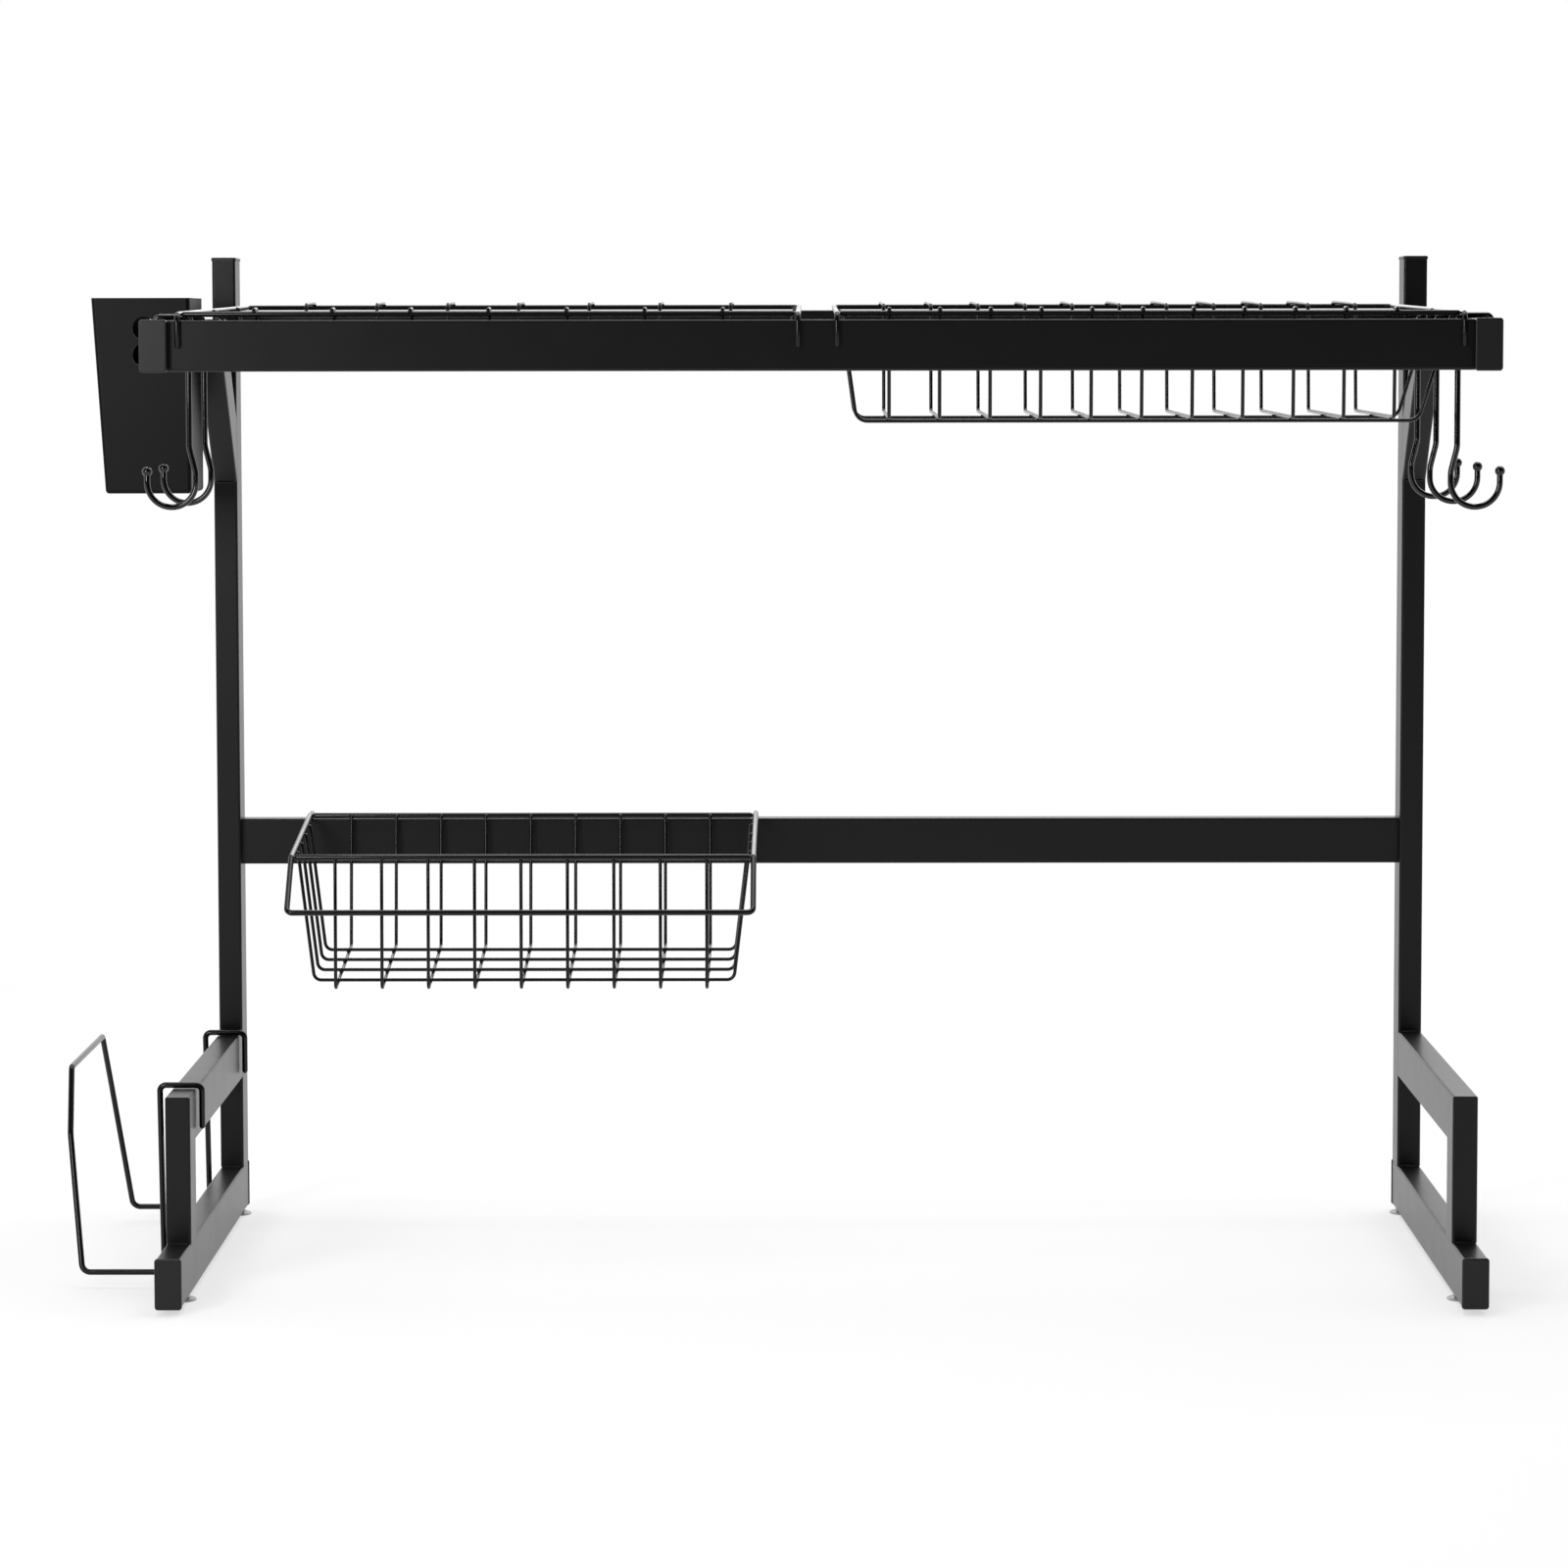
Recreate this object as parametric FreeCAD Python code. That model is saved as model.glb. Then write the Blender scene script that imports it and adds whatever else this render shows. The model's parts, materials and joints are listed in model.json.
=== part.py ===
"""Over-sink dish drying rack: a powder-coated tube frame that carries two wire shelves,
a hanging wire basket, a cutlery cup, a board holder and sliding hooks.

Lengths are in millimetres. While it is drawn, x = 0 is the middle of the frame, y = 0 is the
front face of the rear posts (the user stands at -y) and z = 0 is the worktop. The finished
solids are moved together so that the origin is the bottom centre of the whole rack.
"""
import FreeCAD, Part
import math
import os

Vec = FreeCAD.Vector

# ---------------------------------------------------------------- driving sizes
RACK_WIDTH = 650.0          # over the outer faces of the posts
TUBE_DEEP = 24.5            # long side of the tube section
TUBE_THIN = 12.5            # short side of the tube section
TUBE_WALL = 1.0
TUBE_CORNER = 1.2           # outer corner radius of the tube
FOOT_GAP = 3.0              # worktop to the underside of the foot tubes
POST_TOP = 516.6            # worktop to the top of the rear posts, without the cap
ARM_TOP = 483.9             # worktop to the top of the arms
ARM_REACH = 319.6           # rear posts' front face to the arms' front end, without the cap
FOOT_REACH = 298.7          # the same for the foot tubes
RAIL_SETBACK = 3.2          # front rail behind the arms' front end
REAR_RAIL_RISE = 6.0        # rear rail above the arms
CROSSBAR_TOP = 216.5
WINDOW_TOP = 100.8          # top of the low side frame
WINDOW_REACH = 252.8        # front face of the low side frame's upright
BRACE_FOOT = 398.4          # where the brace's lower edge meets the post
FIT_GAP = 0.3               # between a wire or a hanging part and the tube it hangs on
WELD_BITE = 0.03            # how far two welded wires run into each other

CAP_FLANGE = 1.8
CAP_LIP = 0.4               # cap flange beyond the tube
CAP_PLUG_GAP = 0.1
CAP_PLUG_WALL = 1.5
CAP_FLOOR = 2.0             # closed end of the cap's hollow plug

SCREW_RADIUS = 2.5
SCREW_HOLE_GAP = 0.15
SCREW_THREAD_GAP = 0.05
SCREW_HEAD_RADIUS = 4.6
SCREW_SOCKET = 3.0          # across the flats of the hex socket
SCREW_SOCKET_DEPTH = 1.8
SCREW_SPACING = 12.0        # between the two screws of one rail end
CAP_SCREW_GAP = 0.8         # arm cap's plug to the rail screws behind it
BLOCK_LENGTH = 15.0         # threaded block inside each rail end
BLOCK_GAP = 0.1
BLOCK_CORNER = 0.8
SCREW_END_GAP = 2.0         # screw's end short of the block's end

PAD_RADIUS = 9.0            # suction foot
PAD_EDGE = 0.9
PAD_HOLLOW = 1.1
PAD_STUD_RADIUS = 2.6
PAD_STUD_GAP = 0.05
PAD_STUD_HEAD = 3.4
PAD_STUD_RISE = 2.4         # stud's head above the tube's wall
PAD_STUD_STEP = 0.2
PAD_FRONT_INSET = 43.0      # foot tube's front end to the front suction foot
PAD_REAR_INSET = 12.5       # foot tube's rear end to the rear suction foot

FRAME_WIRE = 2.6            # diameters
GRID_WIRE = 1.8
BASKET_WIRE = 3.0
HOOK_WIRE = 3.0
HOLDER_WIRE = 3.0
GRID_BEND = 3.0             # bend radius of the thin wires
GRID_OVERHANG = 1.2         # thin wire's end past the wire it lies on
WELD_RISE = 0.6             # thin wire's end above the middle of the wire it meets

SHELF_SIDE_GAP = 5.1        # arm's inner face to the centre of a shelf's side wire
SHELF_SPLIT = -1.5          # middle of the gap between the two shelves
SHELF_MIDDLE_GAP = 18.7     # between the facing side wires of the two shelves
SHELF_REAR_INSET = 6.0      # rear rail's front face to the shelf's rear wire
SHELF_HOOK_DROP = 13.2      # how far the shelf hooks reach down the front rail
SHELF_BEND = 4.5
SHELF_HOOK_BEND = 4.2
SHELF_FRONT_RISE = 1.3      # hook's bend rides this far up on the rail's rounded corner
SHELF_SLOPE_ROOM = 0.15     # lets the sloping wires clear the rear rail's edges

PLATE_WIRES = 7
PLATE_PITCH = 37.4
PLATE_DIP = 17.0            # depth of the plate tray below its frame wire
PLATE_LEAN = 2.0            # how far the tray's walls lean in towards the bottom
PLATE_RUN_INSET = 3.0
PLATE_RUN_BEND = 4.0
PLATE_FRONT_GAP = 7.0       # front rail's rear face to the tray's front wall
PLATE_BACK = -36.0          # y of the tray's rear wall
PLATE_RUNS = (-282.0, -168.0, -54.0)

BOWL_WIRES = 11
BOWL_PITCH = 24.3
BOWL_DEPTH = 50.2           # frame wire to the bottom wires, at the front
BOWL_FRONT_GAP = 2.6        # front rail's rear face to the basket's front wall, at the top
BOWL_FRONT_LEAN = 2.5       # how far the front wall leans back towards the bottom
BOWL_BACK_TOP = -107.0
BOWL_BACK_BOTTOM = -113.0
BOWL_SHIFT = -3.2           # basket pocket off the middle of its frame
BOWL_FLOOR_SLOPE = 0.003
BOWL_RUN_BEND = 6.0
BOWL_LEFT_INSET = 9.5       # frame side wire to the bottom corner of the end wall
BOWL_RIGHT_INSET = 18.5
BOWL_RUNS = (-287.0, -192.0)

BASKET_CENTRE = -155.0
BASKET_HALF = 120.3         # middle to the side wires
BASKET_REACH = 105.0        # posts' front face to the front rim
BASKET_DROP = 12.3          # front rim below the rear rim
BASKET_LOOP_REACH = 28.0    # front rim to the towel bar
BASKET_LOOP_DROP = 26.0
BASKET_TAIL = 19.0          # hook behind the crossbar
BASKET_WIRES = 9
BASKET_PITCH = 24.2
BASKET_BACK_DEPTH = 69.5    # rear rim to the bottom wires
BASKET_FRONT_DEPTH = 68.8
BASKET_BACK_LEAN = 10.0
BASKET_CORNER_INSET = 10.5
BASKET_RUNS = (-23.0, -46.2, -69.4, -92.6)
BASKET_BEND = 4.0
BASKET_BAR_BEND = 3.0
BASKET_RUN_BEND = 4.0
BASKET_TAIL_BEND = 3.0
BASKET_SHIFT = -0.9         # cross wires off the basket's middle

CUP_FRONT = -104.0
CUP_BACK = -46.0
CUP_TOP_WIDTH = 51.0
CUP_BOTTOM_WIDTH = 44.5
CUP_HEIGHT = 101.0
CUP_ABOVE_ARM = 12.3
CUP_WALL = 1.0
CUP_CORNER = 2.0
CUP_ARM_GAP = 0.4
CUP_HOLE_RADIUS = 6.0
CUP_HOLE_DROPS = (15.6, 29.4)
CUP_STRAP_WIDTH = 12.0
CUP_STRAP_INSET = 11.0
CUP_STRAP_DROP = 15.0
CUP_DRAIN = (7.0, 40.0)     # width and length of each drain slot
CUP_DRAIN_PITCH = 12.0

HOOK_LENGTH = 93.0          # arm's top to the lowest point of the hook
HOOK_LIP = 3.5              # how far the hook's outer end turns down the arm
HOOK_BOWL_RADIUS = 12.0
HOOK_JOG = 3.0
HOOK_JOG_START = 62.5       # arm's top to the start of the jog
HOOK_JOG_LENGTH = 12.0
HOOK_JOG_BEND = 14.0
HOOK_TOP_BENDS = (2.4, 2.8)
HOOK_TIP_RISE = 5.5
HOOK_BALL_RADIUS = 2.5
LEFT_HOOKS = {"s_hook_left_front": -241.0, "s_hook_left_rear": -172.0}
RIGHT_HOOKS = {"s_hook_right_front": -262.0, "s_hook_right_middle": -172.0,
               "s_hook_right_rear": -86.0}

HOLDER_FRONT_GAP = 7.5      # low upright's rear face to the front hook of the board holder
HOLDER_REAR_GAP = 13.0      # rear post's front face to its rear hook
HOLDER_BOTTOM = 8.0
HOLDER_HOOK_DROP = 22.0
HOLDER_BASE_OUT = 46.0      # outward reach, from the foot tube's outer face
HOLDER_WAIST_OUT = 54.0
HOLDER_TOP_OUT = 56.0
HOLDER_WAIST = 75.0
HOLDER_TOP = 106.0
HOLDER_WAIST_IN = 21.0
HOLDER_TOP_IN = 43.0
HOLDER_INNER_GAP = 1.0      # low bar's inner face to the hook's short leg
HOLDER_OUTER_GAP = 4.6      # low bar's outer face to the hook's long leg, at its top
HOLDER_LOW_GAP = 3.2        # foot tube's outer face to the long leg, at its bottom
HOLDER_BEND = 4.5
HOLDER_HOOK_BEND = 3.0
HOLDER_WAIST_BEND = 12.0
HOLDER_TOP_BEND = 4.0

# ---------------------------------------------------------------- derived places
OUTER_X = RACK_WIDTH / 2
INNER_X = OUTER_X - TUBE_THIN
MIDDLE_X = OUTER_X - TUBE_THIN / 2
FOOT_TOP = FOOT_GAP + TUBE_DEEP
ARM_BOTTOM = ARM_TOP - TUBE_DEEP
POST_MIDDLE_Y = TUBE_DEEP / 2
RAIL_FRONT_Y = -ARM_REACH + RAIL_SETBACK
RAIL_BACK_Y = RAIL_FRONT_Y + TUBE_THIN
BAR_FRONT_Y = POST_MIDDLE_Y - TUBE_THIN / 2
BAR_BACK_Y = BAR_FRONT_Y + TUBE_THIN
REAR_RAIL_TOP = ARM_TOP + REAR_RAIL_RISE
CAP_PLUG = RAIL_SETBACK + TUBE_THIN / 2 - SCREW_HEAD_RADIUS - CAP_SCREW_GAP


# ---------------------------------------------------------------- shape helpers
def rotation(x_axis, y_axis):
    """Rotation that takes local x and y to the two given directions."""
    return FreeCAD.Rotation(x_axis, y_axis, x_axis.cross(y_axis), "ZXY")


def rounded_outline(width, depth, radius):
    """Closed rectangle with rounded corners, centred on the origin in the XY plane."""
    half_w, half_d = width / 2, depth / 2
    edges = []
    corners = [(1, 1, 0), (-1, 1, 90), (-1, -1, 180), (1, -1, 270)]
    points = []
    for side_x, side_y, start in corners:
        centre = Vec(side_x * (half_w - radius), side_y * (half_d - radius), 0)
        turn = [math.radians(start + step) for step in (0, 45, 90)]
        points.append([centre + Vec(radius * math.cos(a), radius * math.sin(a), 0) for a in turn])
    for index, (first, middle, last) in enumerate(points):
        edges.append(Part.Arc(first, middle, last).toShape())
        following = points[(index + 1) % 4][0]
        edges.append(Part.LineSegment(last, following).toShape())
    return Part.Wire(edges)


def rounded_bar(width, depth, length, radius):
    """Solid bar along +z with rounded long edges."""
    return Part.Face(rounded_outline(width, depth, radius)).extrude(Vec(0, 0, length))


def inner_corner():
    """Corner radius inside the tube."""
    return max(TUBE_CORNER - TUBE_WALL, 0.3)


def tube(start, end, thin_axis):
    """Rectangular tube from start to end, with its short side along thin_axis."""
    length = (end - start).Length
    along = (end - start).normalize()
    outer = rounded_bar(TUBE_THIN, TUBE_DEEP, length, TUBE_CORNER)
    inner = rounded_bar(TUBE_THIN - 2 * TUBE_WALL, TUBE_DEEP - 2 * TUBE_WALL, length, inner_corner())
    shape = outer.cut(inner)
    shape.Placement = FreeCAD.Placement(start, rotation(thin_axis, along.cross(thin_axis)))
    return shape


def prism_yz(points, x_low, x_high):
    """Solid whose side view is the polygon of (y, z) points."""
    ring = [Vec(x_low, y, z) for y, z in points]
    face = Part.Face(Part.makePolygon(ring + [ring[0]]))
    return face.extrude(Vec(x_high - x_low, 0, 0))


def round_rod(start, end, radius):
    """Plain cylinder between two points."""
    return Part.makeCylinder(radius, (end - start).Length, start, end - start)


def bent_wire(points, diameter, bends):
    """Round wire along straight runs joined by tangent arcs.

    bends is one radius for every corner or a list with one for each inner point.
    """
    if not isinstance(bends, (list, tuple)):
        bends = [bends] * (len(points) - 2)
    edges = []
    at = points[0]
    for before, corner, after, radius in zip(points, points[1:], points[2:], bends):
        arrive = (corner - before).normalize()
        leave = (after - corner).normalize()
        turn = arrive.getAngle(leave)
        reach = radius * math.tan(turn / 2)
        enter = corner - arrive * reach
        depart = corner + leave * reach
        inward = (leave - arrive).normalize()
        middle = corner + inward * (radius / math.cos(turn / 2) - radius)
        if (enter - at).Length > 1e-6:
            edges.append(Part.LineSegment(at, enter).toShape())
        edges.append(Part.Arc(enter, middle, depart).toShape())
        at = depart
    edges.append(Part.LineSegment(at, points[-1]).toShape())
    path = Part.Wire(edges)
    profile = Part.Wire([Part.Circle(points[0], points[1] - points[0], diameter / 2).toShape()])
    solid = path.makePipeShell([profile], True, False)
    return solid if solid.Volume > 0 else solid.reversed()


def straight_wire(start, end, diameter):
    """Round wire with no bend."""
    return round_rod(start, end, diameter / 2)


def mirrored(shape):
    """The same shape on the other side of the rack."""
    return shape.mirror(Vec(0, 0, 0), Vec(1, 0, 0))


def both_sides(shape):
    """Left and right copies of a shape drawn on the right."""
    return mirrored(shape), shape


def end_cap(tube_end, outward, thin_axis):
    """Plastic cap: a soft-edged flange on the tube's end and a plug inside it."""
    lip_corner = TUBE_CORNER + CAP_LIP
    flange = rounded_bar(TUBE_THIN + 2 * CAP_LIP, TUBE_DEEP + 2 * CAP_LIP, CAP_FLANGE, lip_corner)
    rim = [edge for edge in flange.Edges if edge.BoundBox.ZMin > CAP_FLANGE - 1e-3]
    flange = flange.makeFillet(CAP_FLANGE * 0.45, rim)
    plug_wide = TUBE_THIN - 2 * TUBE_WALL - 2 * CAP_PLUG_GAP
    plug_deep = TUBE_DEEP - 2 * TUBE_WALL - 2 * CAP_PLUG_GAP
    plug = rounded_bar(plug_wide, plug_deep, CAP_PLUG, inner_corner())
    hollow_wide = plug_wide - 2 * CAP_PLUG_WALL
    hollow_deep = plug_deep - 2 * CAP_PLUG_WALL
    hollow = Part.makeBox(hollow_wide, hollow_deep, CAP_PLUG - CAP_FLOOR)
    hollow.translate(Vec(-hollow_wide / 2, -hollow_deep / 2, 0))
    plug = plug.cut(hollow)
    plug.translate(Vec(0, 0, -CAP_PLUG))
    shape = flange.fuse(plug).removeSplitter()
    shape.Placement = FreeCAD.Placement(tube_end, rotation(thin_axis, outward.cross(thin_axis)))
    return shape


# ---------------------------------------------------------------- side frames
def screw_heights(rail_top):
    """Heights of the two screws that hold one rail end."""
    middle = rail_top - TUBE_DEEP / 2
    return middle - SCREW_SPACING / 2, middle + SCREW_SPACING / 2


def screw_places():
    """(y, z) of every screw on one side of the rack."""
    rail_middle_y = (RAIL_FRONT_Y + RAIL_BACK_Y) / 2
    places = [(rail_middle_y, z) for z in screw_heights(ARM_TOP)]
    places += [(POST_MIDDLE_Y, z) for z in screw_heights(REAR_RAIL_TOP)]
    places += [(POST_MIDDLE_Y, z) for z in screw_heights(CROSSBAR_TOP)]
    return places


def screw_head(y, z):
    """Countersunk head, flush with a side tube's outer face."""
    depth = SCREW_HEAD_RADIUS - SCREW_RADIUS
    return Part.makeCone(SCREW_RADIUS, SCREW_HEAD_RADIUS, depth, Vec(OUTER_X - depth, y, z), Vec(1, 0, 0))


def drill_for_screws(shape):
    """Clearance holes through a side tube for the rail screws, with seats for their heads."""
    for y, z in screw_places():
        drill = round_rod(Vec(INNER_X - 1, y, z), Vec(OUTER_X + 1, y, z), SCREW_RADIUS + SCREW_HOLE_GAP)
        shape = shape.cut(drill).cut(screw_head(y, z))
    return shape


def pad_places():
    """y of the suction feet under one foot tube."""
    return -FOOT_REACH + PAD_FRONT_INSET, TUBE_DEEP - PAD_REAR_INSET


def foot_tube():
    """Long tube on the worktop, with a hole for each suction foot's stud."""
    height = FOOT_GAP + TUBE_DEEP / 2
    shape = tube(Vec(MIDDLE_X, -FOOT_REACH, height), Vec(MIDDLE_X, TUBE_DEEP, height), Vec(1, 0, 0))
    for y in pad_places():
        drill = round_rod(Vec(MIDDLE_X, y, FOOT_GAP - 1), Vec(MIDDLE_X, y, FOOT_GAP + TUBE_WALL + 1),
                          PAD_STUD_RADIUS + PAD_STUD_GAP)
        shape = shape.cut(drill)
    return shape


def rear_post():
    """Upright from the foot tube to above the arms."""
    low = Vec(MIDDLE_X, POST_MIDDLE_Y, FOOT_TOP)
    high = Vec(MIDDLE_X, POST_MIDDLE_Y, POST_TOP)
    return drill_for_screws(tube(low, high, Vec(1, 0, 0)))


def arm():
    """Top arm, welded to the post's front face."""
    height = ARM_TOP - TUBE_DEEP / 2
    shape = tube(Vec(MIDDLE_X, -ARM_REACH, height), Vec(MIDDLE_X, 0, height), Vec(1, 0, 0))
    return drill_for_screws(shape)


def mitre_wedge(front, top, above):
    """Half of the low frame's front corner, above or below its 45-degree mitre."""
    corner_back = front + TUBE_DEEP
    corner_low = top - TUBE_DEEP
    apex = (corner_back, top) if above else (front, corner_low)
    return prism_yz([(front, top), (corner_back, corner_low), apex], INNER_X, OUTER_X)


def low_upright():
    """Front upright of the low side frame, mitred at its top."""
    middle_y = -WINDOW_REACH + TUBE_DEEP / 2
    low = Vec(MIDDLE_X, middle_y, FOOT_TOP)
    high = Vec(MIDDLE_X, middle_y, WINDOW_TOP)
    return tube(low, high, Vec(1, 0, 0)).cut(mitre_wedge(-WINDOW_REACH, WINDOW_TOP, True))


def low_bar():
    """Level bar of the low side frame, mitred at its front end."""
    height = WINDOW_TOP - TUBE_DEEP / 2
    shape = tube(Vec(MIDDLE_X, -WINDOW_REACH, height), Vec(MIDDLE_X, 0, height), Vec(1, 0, 0))
    return shape.cut(mitre_wedge(-WINDOW_REACH, WINDOW_TOP, False))


def brace():
    """45-degree tube between the post's front face and the arm's underside."""
    half = TUBE_DEEP / math.sqrt(2)
    past = 2 * TUBE_DEEP
    span = ARM_BOTTOM - BRACE_FOOT + 2 * past
    low = Vec(MIDDLE_X, past, BRACE_FOOT + half - past)
    high = low + Vec(0, -span, span)
    room = [(0, FOOT_TOP), (0, ARM_BOTTOM), (-ARM_REACH, ARM_BOTTOM), (-ARM_REACH, FOOT_TOP)]
    return tube(low, high, Vec(1, 0, 0)).common(prism_yz(room, 0, OUTER_X + 1))


def suction_foot(y):
    """Soft suction disc with a stud that snaps into the foot tube."""
    neck = FOOT_GAP + TUBE_WALL
    top = neck + PAD_STUD_RISE
    outline = [(0, PAD_HOLLOW), (PAD_RADIUS * 0.45, PAD_HOLLOW), (PAD_RADIUS * 0.85, 0), (PAD_RADIUS, 0),
               (PAD_RADIUS, PAD_EDGE), (PAD_RADIUS * 0.5, FOOT_GAP), (PAD_STUD_RADIUS, FOOT_GAP),
               (PAD_STUD_RADIUS, neck), (PAD_STUD_HEAD, neck + PAD_STUD_STEP),
               (PAD_STUD_HEAD * 0.7, top), (0, top)]
    ring = [Vec(r, 0, z) for r, z in outline]
    shape = Part.Face(Part.makePolygon(ring + [ring[0]])).revolve(Vec(0, 0, 0), Vec(0, 0, 1), 360)
    shape.translate(Vec(MIDDLE_X, y, 0))
    return shape


# ---------------------------------------------------------------- rails and their fixings
def cross_rail(front_y, top):
    """Rail between the two side frames."""
    y, z = front_y + TUBE_THIN / 2, top - TUBE_DEEP / 2
    return tube(Vec(-INNER_X, y, z), Vec(INNER_X, y, z), Vec(0, 1, 0))


def thread_block(y, rail_top):
    """Threaded block inside the right-hand end of a rail."""
    wide = TUBE_THIN - 2 * TUBE_WALL - 2 * BLOCK_GAP
    tall = TUBE_DEEP - 2 * TUBE_WALL - 2 * BLOCK_GAP
    block = Part.makeBox(BLOCK_LENGTH, wide, tall)
    block.translate(Vec(INNER_X - BLOCK_LENGTH, y - wide / 2, rail_top - TUBE_DEEP / 2 - tall / 2))
    long_edges = [e for e in block.Edges if e.BoundBox.XLength > BLOCK_LENGTH - 1]
    block = block.makeFillet(BLOCK_CORNER, long_edges)
    tap_radius = SCREW_RADIUS + SCREW_THREAD_GAP
    for z in screw_heights(rail_top):
        tap = round_rod(Vec(INNER_X - BLOCK_LENGTH - 1, y, z), Vec(INNER_X + 1, y, z), tap_radius)
        block = block.cut(tap)
    return block


def rail_screw(y, z):
    """Countersunk screw with a hex socket, on the right-hand side."""
    end_x = INNER_X - BLOCK_LENGTH + SCREW_END_GAP
    shank = round_rod(Vec(end_x, y, z), Vec(OUTER_X - SCREW_SOCKET_DEPTH, y, z), SCREW_RADIUS)
    corner = SCREW_SOCKET / 2 / math.cos(math.radians(30))
    turns = [math.radians(60 * k) for k in range(7)]
    ring = [Vec(0, corner * math.cos(turn), corner * math.sin(turn)) for turn in turns]
    socket = Part.Face(Part.makePolygon(ring)).extrude(Vec(SCREW_SOCKET_DEPTH, 0, 0))
    socket.translate(Vec(OUTER_X - SCREW_SOCKET_DEPTH, y, z))
    return shank.fuse(screw_head(y, z)).removeSplitter().cut(socket)


# ---------------------------------------------------------------- wire shelves on the two rails
def shelf_height(y):
    """Height of a shelf's frame wire where it lies on, or spans between, the two rails."""
    front_y = (RAIL_FRONT_Y + RAIL_BACK_Y) / 2
    rear_y = BAR_FRONT_Y + SHELF_REAR_INSET
    front_z = ARM_TOP + FIT_GAP + SHELF_FRONT_RISE + FRAME_WIRE / 2
    rear_z = REAR_RAIL_TOP + FIT_GAP + SHELF_SLOPE_ROOM + FRAME_WIRE / 2
    return front_z + (rear_z - front_z) * (y - front_y) / (rear_y - front_y)


def shelf_frame(left, right):
    """One bent wire: hook, side, rear, side, hook."""
    rear_y = BAR_FRONT_Y + SHELF_REAR_INSET
    hook_y = RAIL_FRONT_Y - FIT_GAP - FRAME_WIRE / 2
    side = [(hook_y, ARM_TOP - SHELF_HOOK_DROP), (hook_y, shelf_height(hook_y)),
            (rear_y, shelf_height(rear_y))]
    points = [Vec(left, y, z) for y, z in side] + [Vec(right, y, z) for y, z in side[::-1]]
    return bent_wire(points, FRAME_WIRE, [SHELF_HOOK_BEND, SHELF_BEND, SHELF_BEND, SHELF_HOOK_BEND])


def shelf_front_wire(left, right):
    """Straight wire along the front rail, welded between the two side wires."""
    y = (RAIL_FRONT_Y + RAIL_BACK_Y) / 2
    z = shelf_height(y)
    inset = FRAME_WIRE / 2 - WELD_BITE
    return straight_wire(Vec(left + inset, y, z), Vec(right - inset, y, z), FRAME_WIRE)


def spread(centre, count, pitch):
    """Evenly spaced positions about a centre."""
    return [centre + (index - (count - 1) / 2) * pitch for index in range(count)]


def on_frame(y):
    """Height of a grid wire that lies on top of the frame wires."""
    return shelf_height(y) + (FRAME_WIRE + GRID_WIRE) / 2 - WELD_BITE


def grid_ends():
    """y of both ends of a shelf's cross wires, just past the wires that they lie on."""
    front_y = (RAIL_FRONT_Y + RAIL_BACK_Y) / 2
    rear_y = BAR_FRONT_Y + SHELF_REAR_INSET
    return front_y - GRID_OVERHANG, rear_y + GRID_OVERHANG


def plate_cross_wire(x):
    """Wire over the front and rear wires that dips between them to hold plates."""
    front_y, rear_y = grid_ends()
    wall_y = RAIL_BACK_Y + PLATE_FRONT_GAP
    path = [(front_y, on_frame(front_y)), (wall_y, on_frame(wall_y)),
            (wall_y + PLATE_LEAN, shelf_height(wall_y) - PLATE_DIP),
            (PLATE_BACK - PLATE_LEAN, shelf_height(PLATE_BACK) - PLATE_DIP),
            (PLATE_BACK, on_frame(PLATE_BACK)), (rear_y, on_frame(rear_y))]
    return bent_wire([Vec(x, y, z) for y, z in path], GRID_WIRE, GRID_BEND)


def plate_run(y, left, right):
    """Long wire under the plate tray, with its ends bent up to the side wires."""
    under = shelf_height(y) - PLATE_DIP - GRID_WIRE + WELD_BITE
    inset = (FRAME_WIRE + GRID_WIRE) / 2 - WELD_BITE
    end_z = shelf_height(y) + WELD_RISE
    path = [(left + inset, end_z), (left + inset + PLATE_RUN_INSET, under),
            (right - inset - PLATE_RUN_INSET, under), (right - inset, end_z)]
    return bent_wire([Vec(x, y, z) for x, z in path], GRID_WIRE, PLATE_RUN_BEND)


def bowl_floor(y):
    """Height of the bowl basket's bottom cross wires."""
    front_y = RAIL_BACK_Y + BOWL_FRONT_GAP
    return shelf_height(front_y) - BOWL_DEPTH + (y - front_y) * BOWL_FLOOR_SLOPE


def bowl_cross_wire(x):
    """Wire that makes the basket's front wall, floor, rear wall and the rest behind it."""
    front_y, rear_y = grid_ends()
    wall_y = RAIL_BACK_Y + BOWL_FRONT_GAP
    low_y = wall_y + BOWL_FRONT_LEAN
    path = [(front_y, on_frame(front_y)), (wall_y, on_frame(wall_y)), (low_y, bowl_floor(low_y)),
            (BOWL_BACK_BOTTOM, bowl_floor(BOWL_BACK_BOTTOM)), (BOWL_BACK_TOP, on_frame(BOWL_BACK_TOP)),
            (rear_y, on_frame(rear_y))]
    return bent_wire([Vec(x, y, z) for y, z in path], GRID_WIRE, GRID_BEND)


def bowl_run(y, left, right):
    """Long wire under the bowl basket, bent up into its end walls."""
    under = bowl_floor(y) - GRID_WIRE + WELD_BITE
    inset = (FRAME_WIRE + GRID_WIRE) / 2 - WELD_BITE
    end_z = shelf_height(y) + WELD_RISE
    path = [(left + inset, end_z), (left + BOWL_LEFT_INSET, under),
            (right - BOWL_RIGHT_INSET, under), (right - inset, end_z)]
    return bent_wire([Vec(x, y, z) for x, z in path], GRID_WIRE, BOWL_RUN_BEND)


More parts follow.
